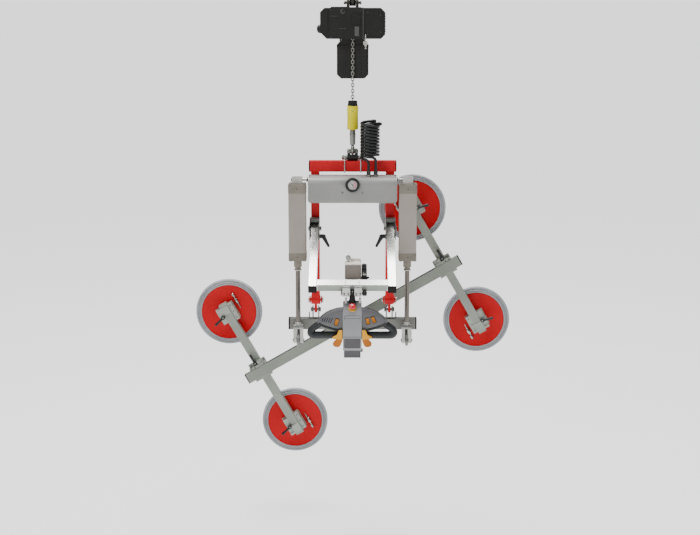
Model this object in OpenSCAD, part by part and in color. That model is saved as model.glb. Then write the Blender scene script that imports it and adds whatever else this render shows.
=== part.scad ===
// Glass panel lifter: chain hoist, swivelling hook, tilting frame and four suction pads.
// Millimetres, +Z up, +X to the operator's right, +Y away from the operator.
// The origin is the centre of the eye that hangs on the crane.

/* [Hoist] */
// Width of the hoist body
hoist_w = 268; // [240:1:300]
// Height of the hoist body
hoist_h = 125; // [110:1:130]
// Depth of the hoist body
hoist_d = 160; // [140:1:180]
// Width of the chain container
container_w = 133; // [120:1:150]
// Height of the chain container
container_h = 157; // [140:1:165]
// Wire diameter of the load chain
chain_wire = 4; // [3.9:0.1:4.1]
// Pitch of the load chain
chain_pitch = 12.2; // [12:0.1:12.4]
// Number of chain links
chain_links = 28; // [27:1:28]
// Bore of the crane eye
eye_bore = 26; // [20:1:30]
// Diameter of the gripping sleeve above the hook
sleeve_d = 47; // [44:1:50]

/* [Frame] */
// How far the red top tube stands out past each rail
top_tube_over = 8; // [4:1:20]
// Section of the red top tube
top_tube_s = 45; // [43:1:46]
// Distance from the housing's side to the middle of each red rail
rail_inset = 27; // [25:0.5:29]
// Section of the red rails
rail_s = 36; // [34:1:38]
// Width of the control housing
housing_w = 372; // [366:1:376]
// Height of the control housing
housing_h = 106; // [100:1:112]
// Depth of the control housing
housing_d = 112; // [106:1:116]
// Wall of the control housing
housing_wall = 2.5; // [2:0.5:4]
// Diameter of the vacuum gauge
gauge_d = 60; // [50:1:64]

/* [Tilt cylinders] */
// Gap between the control housing and each cylinder
cyl_gap = 7.5; // [6:0.5:12]
// Width of the square cylinder body
cyl_s = 75; // [72:1:77]
// Bore of the cylinders
cyl_bore = 63; // [58:1:65]
// Length of a cylinder body with its caps
cyl_l = 322; // [320:1:326]
// Piston rod diameter
rod_d = 20; // [18:1:21]

/* [Handle arm] */
// How far the middle of each arm tube lies outside its rail's middle
arm_out = 2; // [1:0.5:3]
// Section of the arm tubes
arm_s = 34; // [32:1:34]
// Length of an arm from its pivot to its lower end
arm_l = 387; // [370:1:400]
// Slope of the arms below the horizontal, in degrees
arm_slope = 30; // [28:0.5:32]
// Section of the cross tube between the arms
cross_s = 32; // [30:1:32]

/* [Control handle] */
// Width of the middle of the handle
spine_w = 76; // [70:1:80]
// Diameter of the two hand grips
grip_d = 30; // [28:1:33]
// Diameter of the emergency stop button
estop_d = 28; // [24:1:30]

/* [Tilt bar and beam] */
// Length of the tilt bar
tilt_bar_l = 554; // [540:1:580]
// Section of the tilt bar
tilt_bar_s = 45; // [44:1:46]
// Length of the main beam
beam_l = 1090; // [1075:1:1200]
// Height of the main beam
beam_h = 44; // [42:1:46]
// Depth of the main beam
beam_d = 30; // [26:1:30]
// Angle of the main beam in the rest pose, in degrees
beam_angle = 30; // [30:1:30]

/* [Cross arms and pads] */
// Distance from the hub to each cross arm, along the beam
cross_u = 477; // [470:1:485]
// Length of a cross arm
cross_arm_l = 696; // [688:1:720]
// Section of the cross arms
cross_arm_s = 36; // [34:1:36]
// Distance from the beam to each pad centre, along a cross arm
pad_v = 295; // [290:1:297]
// Outer diameter of a suction pad
pad_d = 300; // [290:1:304]
// Diameter of the red plate on a pad
plate_d = 247; // [240:1:250]

/* [Hidden] */

$fn = 64;
// A hair added to cutting shapes so that their faces never coincide
eps = 0.5;
// Gap between sliding faces
slide_gap = 0.3;
// Gap between two pieces of one node, so that they stay two pieces
seat_gap = 0.2;
// Radial clearance of a pin or shaft in its bore
run_gap = 0.06;
// Thickness of a tube wall
tube_wall = 3;
// Thickness of a tube's end cap
cap_t = 4;

// Heights of the hoist parts
pin_z = -36;
hoist_top = -58;
hoist_bottom = hoist_top - hoist_h;
container_top = hoist_bottom - 10;
container_front = 16;
container_d = 96;
flange_x = 41;
flange_t = 4;
channel_s = chain_pitch + 2.4;
channel_top = -75;
lug_t = 12;
lug_gap = 26;

// Heights of the hook and the hanging parts
buffer_top = -441;
sleeve_top = -462;
sleeve_bottom = -563;
chain_bore = 16;
link_bore = chain_pitch;
link_w = 9.7;
chain_low = sleeve_top - 12;
bow_z = -648;
bow_r = 5;
block_top = -662;
hang_bolt_r = 6;
block_w = 46;
block_r = 13.2;
hang_plate_x = 34;
hang_plate_t = 4;

// The red frame
top_tube_z = -717;
rail_top = top_tube_z - top_tube_s / 2;
hang_z = top_tube_z + top_tube_s / 2 + block_r + slide_gap;
rail_bottom = -1299;
tongue_t = 11;
tilt_z = -1341.6;
tilt_pin_r = 6;
ear_r = 20;
ear_z = -1298;
ear_t = 2;

// The control housing in front of the rails
housing_top = -752;
back_t = 5;
back_y = -rail_s / 2 - back_t;
housing_front = back_y - housing_d;
gauge_z = -780;
housing_r = 28;
housing_low_r = 10;
housing_side_r = 14;

// The rails and arms keep their place against the housing's sides
rail_x = housing_w / 2 - rail_inset;
top_tube_l = 2 * (rail_x + rail_s / 2 + top_tube_over);
arm_x = rail_x + arm_out;

// The cylinders
cyl_x = housing_w / 2 + cyl_gap + cyl_s / 2;
cyl_y = -110;
cyl_top = -779;
cyl_cap_top = 36;
cyl_cap_low = 32;
cyl_bottom = cyl_top - cyl_l;
neck_r = 17;
neck_l = 30;
ring_z = cyl_bottom - 46;
hanger_z = -761;
hanger_r = 5;
fork_pin_z = tilt_z - 110;
fork_pin_y = cyl_y;
fork_w = 42;
fork_gap = 15;
fork_d = 26;
fork_crown = 52;
fork_top = fork_pin_z + 82;
fork_pin_r = 6;
lever_t = 12;
lever_slot = 15.5;
lever_half = 23;
lever_in = 110;
lever_out = 156.5;

// The handle arm
arm_pivot_y = -50;
arm_pivot_z = -978;
clamp_r = 52;
cheek_t = 4;
arm_bolt_r = 6;
arm_swing = 35;
arm_tail = 20;
cross_back = 10 + cross_s / 2;
cross_at = arm_l - cross_back;
cross_y = arm_pivot_y - cross_at * cos(arm_slope);

// The control handle
yoke_y = -380;
yoke_z = -1188;
spine_top = -1226;
spine_low = -1453;
wing_front = -402;
wing_t = 38;
grip_y = -378;
grip_z = -1362;
grip_corner = 168;
estop_y = -390;
estop_z = -1248.6;
estop_tilt = 45;
trigger_y = -411;
trigger_z = -1366;
trigger_pin_r = 3;

// The tilting parts
tilt_bar_z = -1403;
lug_plate_t = 5;
lug_plate_off = 12.5;
hub_z = -1430;
hub_plate_t = 9;
hub_r = 60;
hub_y = tilt_bar_s / 2 + hub_plate_t;
hub_end = 110;
beam_y = 160;
shaft_r = 20;
beam_mid = beam_y + beam_d / 2;

// The cross arms and pads
carriage_t = 10;
carriage_w = 82;
lever_u = 6;
lever_v = beam_h / 2 + 21 + 2 * slide_gap;
lever_seat = beam_y + beam_d;
stud_r = 3;
pad_lever_u = 24;
arm_front = beam_y + beam_d + slide_gap + carriage_t + seat_gap;
arm_back = arm_front + cross_arm_s;
mount_t = 9;
mount_back = arm_back + slide_gap + mount_t;
plate_front = 254;
plate_t = 8;
seal_lip = 277;
pad_inner = 110;

// The twin spiral hose
hose_d = 12;
coil_x = 73;
coil_y = -48;
coil_r = 36;
coil_pitch = 26.2;
coil_low = -681;
coil_turns = 5.5;
coil_steps = 8;
hose_sides = 6;
hose_bend = 18;
hose_bend_steps = 3;
fitting_top = housing_top + 24;
hose_start = [-125, -80];
hose_rise = [0, 9.8];

// Copies its children to both sides of the middle plane
module both() {
    children();
    mirror([1, 0, 0]) children();
}

// A block given by its lowest and highest corners
module span(low, high) {
    translate(low) cube(high - low);
}

// A cylinder along X between two places
module rod_x(x0, x1, y, z, r) {
    translate([x0, y, z]) rotate([0, 90, 0]) cylinder(h = x1 - x0, r = r);
}

// A cylinder along Y between two places
module rod_y(x, y0, y1, z, r) {
    translate([x, y0, z]) rotate([-90, 0, 0]) cylinder(h = y1 - y0, r = r);
}

// A cylinder along Z between two heights
module rod_z(x, y, z0, z1, r) {
    translate([x, y, z0]) cylinder(h = z1 - z0, r = r);
}

// A flat outline drawn as (Y, Z) points, given a thickness along X
module slab_x(x0, x1) {
    translate([x0, 0, 0]) rotate([90, 0, 90]) linear_extrude(height = x1 - x0) children();
}

// A flat outline drawn as (X, Z) points, given a thickness along Y
module slab_y(y0, y1) {
    translate([0, y1, 0]) rotate([90, 0, 0]) linear_extrude(height = y1 - y0) children();
}

// A square tube along X with its wall and two end caps
module square_tube_x(half, y, z, s, wall) {
    difference() {
        span([-half + cap_t, y - s / 2, z - s / 2], [half - cap_t, y + s / 2, z + s / 2]);
        span([-half, y - s / 2 + wall, z - s / 2 + wall], [half, y + s / 2 - wall, z + s / 2 - wall]);
    }
    for (side = [-1, 1])
        translate([side * (half - cap_t / 2), y, z]) cube([cap_t, s, s], center = true);
}

// The square outline with its four corners cut off
module chamfered(w, h, c) {
    polygon([
        [-w / 2 + c, -h / 2], [w / 2 - c, -h / 2], [w / 2, -h / 2 + c], [w / 2, h / 2 - c],
        [w / 2 - c, h / 2], [-w / 2 + c, h / 2], [-w / 2, h / 2 - c], [-w / 2, -h / 2 + c]
    ]);
}

// What is left outside a quarter round at a corner that points up and right
module corner_cut(r) {
    difference() {
        square(r + eps);
        circle(r);
    }
}

// A rectangle with round corners, from its middle
module round_rect(w, h, r) {
    difference() {
        square([w, h], center = true);
        for (sx = [0, 1], sy = [0, 1])
            mirror([sx, 0]) mirror([0, sy]) translate([w / 2 - r, h / 2 - r]) corner_cut(r);
    }
}

// Frame of the arms: origin at the arm pivot, local Y along the arm towards its lower end
module in_arm() {
    translate([0, arm_pivot_y, arm_pivot_z]) rotate([arm_slope, 0, 0]) mirror([0, 1, 0]) children();
}

// Frame of the turning beam: origin on the hub axis, local X along the beam
module in_beam() {
    translate([0, 0, hub_z]) rotate([0, -beam_angle, 0]) children();
}

module hoist_housing() {
    gear_cover();
    color("#262725") difference() {
        union() {
            slab_y(-hoist_d / 2 + 6, hoist_d / 2) difference() {
                translate([0, hoist_top - hoist_h / 2]) chamfered(hoist_w, hoist_h, 15);
                translate([flange_x, hoist_bottom - eps]) square([hoist_w, hoist_h + 2 * eps]);
            }
            span([-hoist_w / 2 + 38, -hoist_d / 2, hoist_bottom], [flange_x, hoist_d / 2, hoist_top + 3]);
            span([flange_x, -hoist_d / 2 + 3, hoist_bottom], [flange_x + flange_t, hoist_d / 2, hoist_top + 3]);
            rod_x(-hoist_w / 2 - 12, -hoist_w / 2 + 6, 0, hoist_top - 86, 18);
        }
        span([-channel_s / 2, -channel_s / 2, hoist_bottom - 3],
             [channel_s / 2, channel_s / 2, channel_top]);
    }
}

module gear_cover() {
    color("#262725") slab_y(-hoist_d / 2 + 6, hoist_d / 2 - 4) difference() {
        translate([0, hoist_top - hoist_h / 2]) chamfered(hoist_w, hoist_h, 15);
        translate([-hoist_w + flange_x + flange_t + seat_gap, hoist_bottom - eps])
            square([hoist_w, hoist_h + 2 * eps]);
    }
}

module chain_container() {
    outer_z = container_top - container_h / 2;
    color("#2b2b29") difference() {
        union() {
            slab_y(container_front, container_front + container_d)
                translate([0, outer_z]) chamfered(container_w, container_h, 16);
            span([-50, container_front, container_top - 1], [50, container_front + container_d, hoist_bottom]);
        }
        slab_y(container_front + 5, container_front + container_d - 5)
            translate([0, outer_z - 2]) chamfered(container_w - 10, container_h - 14, 13);
        span([-14, container_front + 30, container_top - 20], [14, container_front + 58, hoist_bottom + eps]);
    }
}

module suspension_lugs() {
    color("#2c2c2c") {
        difference() {
            for (side = [-1, 1]) {
                x0 = side * (lug_gap / 2 + lug_t / 2) - lug_t / 2;
                slab_x(x0, x0 + lug_t) {
                    translate([-18, hoist_top + 3]) square([36, pin_z - hoist_top - 3]);
                    translate([0, pin_z]) circle(18);
                }
            }
            rod_x(-60, 60, 0, pin_z, 6 + run_gap);
        }
        rod_x(-33, 33, 0, pin_z, 6);
        difference() {
            union() {
                rod_z(0, 0, pin_z - 14, 0, 12.5);
                rod_y(0, -8, 8, 0, eye_bore / 2 + 11);
            }
            rod_y(0, -15, 15, 0, eye_bore / 2);
            rod_x(-60, 60, 0, pin_z, 6 + run_gap);
            for (side = [-1, 1])
                translate([-50, side * 18 - 10, -eye_bore / 2 - 3]) cube([100, 20, 2 * eye_bore]);
        }
    }
}

// One oval chain link lying in the XZ plane
module chain_link() {
    r = chain_wire / 2 - 0.05;
    half = (link_bore + chain_wire) / 2 - link_w / 2;
    for (side = [0, 1]) mirror([0, 0, side]) {
        translate([0, 0, half]) rotate([90, 0, 0])
            rotate_extrude(angle = 180, $fn = 32) translate([link_w / 2, 0]) circle(r, $fn = 16);
    }
    for (side = [-1, 1])
        translate([side * link_w / 2, 0, -half]) cylinder(h = 2 * half, r = r, $fn = 16);
}

module load_chain() {
    color("#9a9a97") for (i = [0 : chain_links - 1])
        translate([0, 0, chain_low + i * chain_pitch]) rotate([0, 0, 90 * (i % 2)]) chain_link();
}

module chain_buffer() {
    color("#2a2a2a") difference() {
        translate([0, 0, sleeve_top + seat_gap])
            cylinder(h = buffer_top - sleeve_top, r1 = 21, r2 = 19);
        rod_z(0, 0, sleeve_top - 1, buffer_top + 2, chain_bore / 2);
    }
}

module hook_sleeve() {
    edge = 5;
    pin_r = 1.9;
    pin_z = chain_low - link_bore / 2 - 0.15 + pin_r;
    chain_buffer();
    color("#b5ac2e") {
        difference() {
            rotate_extrude() {
                translate([0, sleeve_bottom + edge]) square([sleeve_d / 2, sleeve_top - sleeve_bottom - edge]);
                translate([0, sleeve_bottom]) square([sleeve_d / 2 - edge, edge + 1]);
                translate([sleeve_d / 2 - edge, sleeve_bottom + edge]) circle(edge);
            }
            rod_z(0, 0, chain_low - 14, sleeve_top + 1, chain_bore / 2);
            rod_z(0, 0, sleeve_bottom - 1, sleeve_bottom + 40, 7 + run_gap);
            rod_y(0, -50, 50, pin_z, pin_r);
        }
        rod_y(0, -sleeve_d / 2 + 1, sleeve_d / 2 - 1, pin_z, pin_r);
    }
}

module swivel_hook() {
    wire = 7.5;
    bowl = bow_r + slide_gap + wire;
    neck_top = sleeve_bottom - slide_gap;
    color("#a3a5a0") {
        rod_z(0, 0, neck_top - 4, sleeve_bottom + 39, 7);
        rod_z(0, 0, neck_top - 16, neck_top, 11.5);
        rod_z(0, 0, neck_top - 21, neck_top - 16, 13);
        translate([0, 0, -626]) cylinder(h = neck_top - 20 + 626, r1 = 11.5, r2 = 13);
        translate([0, 8, bow_z]) rod_z(0, 0, 4, 26, 6);
        translate([0, 0, bow_z]) rotate([90, 0, 90]) rotate([0, 0, -235])
            rotate_extrude(angle = 300) translate([bowl, 0]) circle(wire, $fn = 32);
        translate([0, -4, -634]) rotate([-24, 0, 0]) translate([-4, -1.5, -4]) cube([8, 3, 14]);
    }
}

module hang_bow() {
    leg = block_w / 2 + 1;
    color("#9d9f9b") {
        rod_x(-leg + bow_r, leg - bow_r, 0, bow_z, bow_r);
        for (side = [-1, 1]) {
            translate([side * (leg - bow_r), 0, bow_z]) sphere(bow_r);
            rod_z(side * (leg - bow_r), 0, block_top + seat_gap, bow_z, bow_r);
            translate([side * (block_w / 2 - 5), 0, block_top + seat_gap + 3]) cube([10, 18, 6], center = true);
        }
    }
}

module hang_block() {
    hang_bow();
    color("#2a2b2a") difference() {
        union() {
            span([-block_w / 2, -block_r, hang_z], [block_w / 2, block_r, block_top]);
            rod_x(-block_w / 2, block_w / 2, 0, hang_z, block_r);
        }
        span([-9, -block_r - 1, block_top - 7.5], [9, block_r + 1, block_top + 1]);
        rod_x(-block_w, block_w, 0, hang_z, hang_bolt_r);
    }
    color("#8d8f8c") {
        rod_x(-hang_plate_x - 10, hang_plate_x + 10, 0, hang_z, hang_bolt_r);
        for (side = [-1, 1]) {
            mid = side * (block_w / 2 + hang_plate_x - hang_plate_t / 2) / 2;
            half = (hang_plate_x - hang_plate_t / 2 - block_w / 2) / 2 - slide_gap;
            rod_x(mid - half, mid + half, 0, hang_z, 10.5);
            head = side * (hang_plate_x + hang_plate_t / 2 + slide_gap + 3);
            rod_x(head - 3, head + 3, 0, hang_z, 10.5);
        }
    }
}

module hang_plates() {
    tube_hole = top_tube_s + 0.4;
    color("#b9b6b3") for (side = [-1, 1]) {
        x0 = side * hang_plate_x - hang_plate_t / 2;
        difference() {
            slab_x(x0, x0 + hang_plate_t) {
                translate([-16, hang_z]) square([32, 1]);
                translate([0, hang_z]) circle(14);
                translate([-14, top_tube_z]) square([28, hang_z - top_tube_z]);
                translate([0, top_tube_z]) round_rect(top_tube_s + 18, top_tube_s + 10, 6);
            }
            translate([x0 - 1, -tube_hole / 2, top_tube_z - tube_hole / 2])
                cube([hang_plate_t + 2, tube_hole, tube_hole]);
            rod_x(x0 - 1, x0 + hang_plate_t + 1, 0, hang_z, hang_bolt_r + run_gap);
        }
    }
}

module top_tube() {
    color("#c0211f") square_tube_x(top_tube_l / 2, 0, top_tube_z, top_tube_s, tube_wall);
}

module red_frame() {
    top_tube();
    side_rails();
}

module side_rails() {
    inner = rail_s - 2 * tube_wall;
    color("#b8201f") both() {
        difference() {
            union() {
                span([rail_x - rail_s / 2, -rail_s / 2, rail_bottom], [rail_x + rail_s / 2, rail_s / 2, rail_top]);
                rod_x(rail_x - rail_s / 2 - ear_t, rail_x + rail_s / 2 + ear_t, 0, ear_z, ear_r);
                slab_x(rail_x - tongue_t / 2, rail_x + tongue_t / 2) {
                    translate([-14, tilt_z]) square([28, rail_bottom - tilt_z + 10]);
                    translate([0, tilt_z]) circle(14);
                }
            }
            span([rail_x - inner / 2, -inner / 2, rail_bottom + 45], [rail_x + inner / 2, inner / 2, rail_top + 1]);
            rod_x(rail_x - 30, rail_x + 30, 0, tilt_z, tilt_pin_r);
            rod_x(rail_x - 50, rail_x + 50, 0, ear_z, 7);
            for (z = [housing_top - 20, housing_top - housing_h + 20])
                rod_y(rail_x, -rail_s, -inner / 2 + 1, z, 4);
        }
    }
}

// Outline of the housing seen from the side
module housing_profile(inset) {
    depth = housing_d - inset;
    height = housing_h - 2 * inset;
    translate([housing_front + inset, housing_top - housing_h + inset]) difference() {
        square([depth + inset, height]);
        mirror([1, 0]) translate([-(housing_r - inset), height - (housing_r - inset)])
            corner_cut(housing_r - inset);
        rotate(180) translate([-(housing_low_r - inset), -(housing_low_r - inset)])
            corner_cut(housing_low_r - inset);
    }
}

module housing_cover() {
    wall = housing_wall;
    mid_z = housing_top - housing_h / 2;
    color("#9a9a97") difference() {
        intersection() {
            slab_x(-housing_w / 2, housing_w / 2) housing_profile(0);
            slab_y(housing_front - 1, back_y)
                translate([0, mid_z]) round_rect(housing_w, housing_h, housing_side_r);
        }
        intersection() {
            slab_x(-housing_w / 2 + wall, housing_w / 2 - wall) housing_profile(wall);
            slab_y(housing_front - 1, back_y + 1)
                translate([0, mid_z])
                round_rect(housing_w - 2 * wall, housing_h - 2 * wall, housing_side_r - wall);
        }
        rod_y(0, housing_front - 5, housing_front + 22, gauge_z, gauge_d / 2 - 5);
        for (x = hose_places()) rod_z(x[0], x[1], housing_top - 10, housing_top + 5, 8.2);
        for (side = [-1, 1])
            rod_x(side * housing_w / 2 - 10, side * housing_w / 2 + 10, cyl_y, hanger_z, hanger_r + 1);
    }
}

module housing_back() {
    lug_in = housing_w / 2 - housing_side_r - 8;
    color("#8a8a87") difference() {
        union() {
            span([-housing_w / 2, back_y, housing_top - housing_h], [housing_w / 2, back_y + back_t, housing_top]);
            both() intersection() {
                span([lug_in, cyl_y - 14, hanger_z - 18], [lug_in + 8, back_y + 1, hanger_z + 6]);
                slab_x(lug_in, lug_in + 8) housing_profile(housing_wall + slide_gap);
            }
            span([-80, -96, housing_top - housing_h + 6], [80, back_y + 1, housing_top - housing_h + 10]);
        }
        both() rod_x(lug_in - 1, lug_in + 9, cyl_y, hanger_z, hanger_r);
        both() for (z = [housing_top - 20, housing_top - housing_h + 20])
            rod_y(rail_x, back_y - 1, back_y + back_t + 1, z, 4.2);
    }
}

// Vacuum pump on its shelf inside the housing
module vacuum_pump() {
    floor_z = housing_top - housing_h + 10;
    color("#3d3f41") {
        span([-60, -90, floor_z], [20, -34, floor_z + 52]);
        rod_x(20, 66, -62, floor_z + 27, 24);
        rod_x(66, 74, -62, floor_z + 27, 12);
        span([-72, -76, floor_z], [-60, -46, floor_z + 30]);
    }
}

module gauge_case() {
    front = housing_front - 15;
    color("#3b3b3b") difference() {
        union() {
            rod_y(0, front, housing_front, gauge_z, gauge_d / 2);
            rod_y(0, housing_front - 1, housing_front + 20, gauge_z, gauge_d / 2 - 5.3);
        }
        rod_y(0, front - 1, housing_front - 5, gauge_z, gauge_d / 2 - 4);
        rod_y(0, front - 1, housing_front + 5, gauge_z, 1.5 + run_gap);
    }
}

module gauge_needle() {
    face = housing_front - 5;
    color("#1d1d1d") difference() {
        union() {
            rod_y(0, face - 5, face - 1, gauge_z, 3.5);
            rod_y(0, face - 1.5, face + 8, gauge_z, 1.5);
            translate([0, face - 3, gauge_z]) rotate([0, -45, 0])
                translate([-1, -1, -7]) cube([2, 2, 27]);
        }
        rod_y(0, face - 5.5, face - 4.5, gauge_z, 1);
    }
}

// Where the two hose ends meet the housing, as (X, Y) places
function coil_point(a) = [coil_x + coil_r * cos(a), coil_y + coil_r * sin(a)];
function coil_heading(a) = [-sin(a), cos(a)];
function hose_places() = [for (a = hose_start) coil_point(a) + hose_bend * coil_heading(a)];

// Points along one hose: up out of its fitting, round the bend, up the coil and off at a tangent
function hose_path(a0, z0) =
    let (
        start = coil_point(a0),
        head = coil_heading(a0),
        foot = start + hose_bend * head,
        steps = coil_turns * coil_steps,
        step = 360 / coil_steps,
        last = a0 - steps * step,
        top = z0 + coil_turns * coil_pitch,
        tail = coil_point(last) - 34 * coil_heading(last)
    )
    concat(
        [[foot[0], foot[1], fitting_top]],
        [[foot[0], foot[1], z0 - hose_bend - 2]],
        [for (i = [1 : hose_bend_steps - 1])
            let (b = 90 * i / hose_bend_steps)
            [start[0] + hose_bend * head[0] * cos(b), start[1] + hose_bend * head[1] * cos(b),
             z0 - hose_bend + hose_bend * sin(b)]],
        [for (i = [0 : floor(steps)])
            let (p = coil_point(a0 - i * step))
            [p[0], p[1], z0 + i * coil_pitch / coil_steps]],
        [[tail[0], tail[1], top + 1]]
    );

// Unit direction from one point of a path to the next, and the path's heading at a point
function unit(v) = v / norm(v);
function heading(p, i) =
    i == 0 ? unit(p[1] - p[0])
    : i == len(p) - 1 ? unit(p[i] - p[i - 1])
    : unit(unit(p[i + 1] - p[i]) + unit(p[i] - p[i - 1]));

// A side direction that stays square to the path, carried from ring to ring
function carried(p, i, side) =
    let (t = heading(p, i), s = side - (side * t) * t)
    unit(s);
function sides(p, first) = [
    for (i = 0, s = carried(p, 0, first); i < len(p); i = i + 1, s = i < len(p) ? carried(p, i, s) : s) s
];

// A closed tube of flat triangles along a path
module tube_along(p, r, n, first) {
    s = sides(p, first);
    rings = [for (i = [0 : len(p) - 1])
        let (t = heading(p, i), side = s[i], up = cross(t, side))
        [for (k = [0 : n - 1]) p[i] + r * (cos(360 * k / n) * side + sin(360 * k / n) * up)]];
    points = concat([for (ring = rings) each ring], [p[0], p[len(p) - 1]]);
    last = (len(p) - 1) * n;
    faces = concat(
        [for (i = [0 : len(p) - 2], k = [0 : n - 1]) [i * n + k, (i + 1) * n + k, (i + 1) * n + (k + 1) % n]],
        [for (i = [0 : len(p) - 2], k = [0 : n - 1]) [i * n + k, (i + 1) * n + (k + 1) % n, i * n + (k + 1) % n]],
        [for (k = [0 : n - 1]) [len(points) - 2, k, (k + 1) % n]],
        [for (k = [0 : n - 1]) [len(points) - 1, last + (k + 1) % n, last + k]]
    );
    polyhedron(points = points, faces = faces);
}

hose_a = hose_path(hose_start[0], coil_low + hose_rise[0]);
hose_b = hose_path(hose_start[1], coil_low + hose_rise[1]);

// Least gap between turns of a hose, measured on the points of its middle line
function least_gap(p, q, apart) = min([
    for (i = [0 : len(p) - 1], j = [0 : len(q) - 1])
        if (abs(i - j) >= apart) norm(p[i] - q[j]) - hose_d
]);
echo(hose_gap_to_itself = least_gap(hose_a, hose_a, coil_steps - 1));
echo(hose_gap_between_the_two = least_gap(hose_a, hose_b, 0));

module spiral_hose() {
    color("#222423") {
        tube_along(hose_a, hose_d / 2, hose_sides, [0, 1, 0]);
        tube_along(hose_b, hose_d / 2, hose_sides, [0, 1, 0]);
    }
}

module hose_fittings() {
    color("#8e908d") for (p = hose_places()) {
        rod_z(p[0], p[1], housing_top, fitting_top, 9);
        rod_z(p[0], p[1], housing_top - 12, housing_top + 1, 8);
        translate([p[0], p[1], housing_top]) cylinder(h = 8, r = 11, $fn = 6);
    }
}

module cylinder_barrels() {
    z0 = cyl_bottom + cyl_cap_low;
    z1 = cyl_top - cyl_cap_top;
    inset = 1;
    color("#97908a") both() difference() {
        translate([cyl_x, cyl_y, z0]) linear_extrude(height = z1 - z0)
            round_rect(cyl_s - 2 * inset, cyl_s - 2 * inset, 4);
        rod_z(cyl_x, cyl_y, z0 - 1, z1 + 1, cyl_bore / 2);
    }
}

module cylinder_heads() {
    low_z = cyl_bottom + cyl_cap_low;
    color("#7b766c") both() {
        difference() {
            union() {
                translate([cyl_x, cyl_y, cyl_top - cyl_cap_top]) linear_extrude(height = cyl_cap_top)
                    round_rect(cyl_s, cyl_s, 5);
                span([cyl_x - 21, cyl_y - 14, cyl_top - 1], [cyl_x + 21, cyl_y + 14, hanger_z + 12]);
            }
            rod_x(cyl_x - 30, cyl_x + 30, cyl_y, hanger_z, hanger_r + 0.2);
            rod_y(cyl_x, cyl_y - cyl_s / 2 - 1, cyl_y - cyl_s / 2 + 10, cyl_top - 18, 6);
        }
        difference() {
            union() {
                translate([cyl_x, cyl_y, cyl_bottom]) linear_extrude(height = cyl_cap_low)
                    round_rect(cyl_s, cyl_s, 5);
                rod_z(cyl_x, cyl_y, cyl_bottom - neck_l, cyl_bottom + 1, neck_r);
                rod_z(cyl_x, cyl_y, ring_z, cyl_bottom, 12.5);
                rod_z(cyl_x, cyl_y, ring_z, ring_z + 5, 14);
            }
            rod_z(cyl_x, cyl_y, ring_z - 1, low_z + 1, rod_d / 2 + run_gap);
            rod_y(cyl_x, cyl_y - cyl_s / 2 - 1, cyl_y - cyl_s / 2 + 10, cyl_bottom + 16, 6);
        }
    }
}

module piston_rods() {
    piston_low = cyl_bottom + cyl_cap_low + 5;
    color("#a9a8a4") both() {
        rod_z(cyl_x, cyl_y, piston_low, piston_low + 25, cyl_bore / 2 - run_gap);
        rod_z(cyl_x, cyl_y, fork_top - 5, piston_low + 1, rod_d / 2);
        difference() {
            union() {
                span([cyl_x - fork_w / 2, fork_pin_y - fork_d / 2, fork_pin_z],
                     [cyl_x + fork_w / 2, fork_pin_y + fork_d / 2, fork_top - 12]);
                rod_z(cyl_x, cyl_y, fork_top - 13, fork_top, 13);
                rod_x(cyl_x - fork_w / 2, cyl_x + fork_w / 2, fork_pin_y, fork_pin_z, fork_d / 2);
            }
            span([cyl_x - fork_gap / 2, fork_pin_y - fork_d, fork_pin_z - fork_d],
                 [cyl_x + fork_gap / 2, fork_pin_y + fork_d, fork_pin_z + fork_crown]);
            rod_x(cyl_x - fork_w, cyl_x + fork_w, fork_pin_y, fork_pin_z, fork_pin_r);
        }
        rod_x(cyl_x - fork_w / 2 - 4, cyl_x + fork_w / 2 + 4, fork_pin_y, fork_pin_z, fork_pin_r);
    }
}

// Outline of a bracket cheek, with the slot that the clamp bolt follows
module cheek_outline() {
    reach = clamp_r + 12;
    difference() {
        union() {
            translate([arm_pivot_y, arm_pivot_z]) intersection() {
                circle(reach);
                polygon([[0, 0], [-2 * reach, -2 * reach * tan(arm_slope + 14)], [-2 * reach, 30], [0, 30]]);
            }
            translate([arm_pivot_y, arm_pivot_z]) circle(17);
            translate([arm_pivot_y - 14, arm_pivot_z]) square([-rail_s / 2 - arm_pivot_y + 14, 44]);
            translate([arm_pivot_y, arm_pivot_z - 16]) square([-rail_s / 2 - arm_pivot_y, 30]);
        }
        translate([arm_pivot_y, arm_pivot_z]) {
            circle(arm_bolt_r);
            intersection() {
                difference() {
                    circle(clamp_r + arm_bolt_r + 0.4);
                    circle(clamp_r - arm_bolt_r - 0.4);
                }
                polygon([[0, 0], [-200 * cos(arm_slope), -200 * sin(arm_slope)], [-200, 0],
                         [-200 * cos(arm_swing - arm_slope), 200 * sin(arm_swing - arm_slope)]]);
            }
            for (a = [arm_slope, arm_slope - arm_swing])
                translate([-clamp_r * cos(a), -clamp_r * sin(a)]) circle(arm_bolt_r + 0.4);
        }
    }
}

module arm_brackets() {
    gap = arm_s / 2 + slide_gap;
    color("#5d5f5c") both() {
        slab_x(arm_x - gap - cheek_t, arm_x - gap) cheek_outline();
        slab_x(arm_x + gap, arm_x + gap + cheek_t) cheek_outline();
        span([arm_x - gap - 0.1, arm_pivot_y - 12, arm_pivot_z + 28],
             [arm_x + gap + 0.1, -rail_s / 2, arm_pivot_z + 44]);
    }
}

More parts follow.
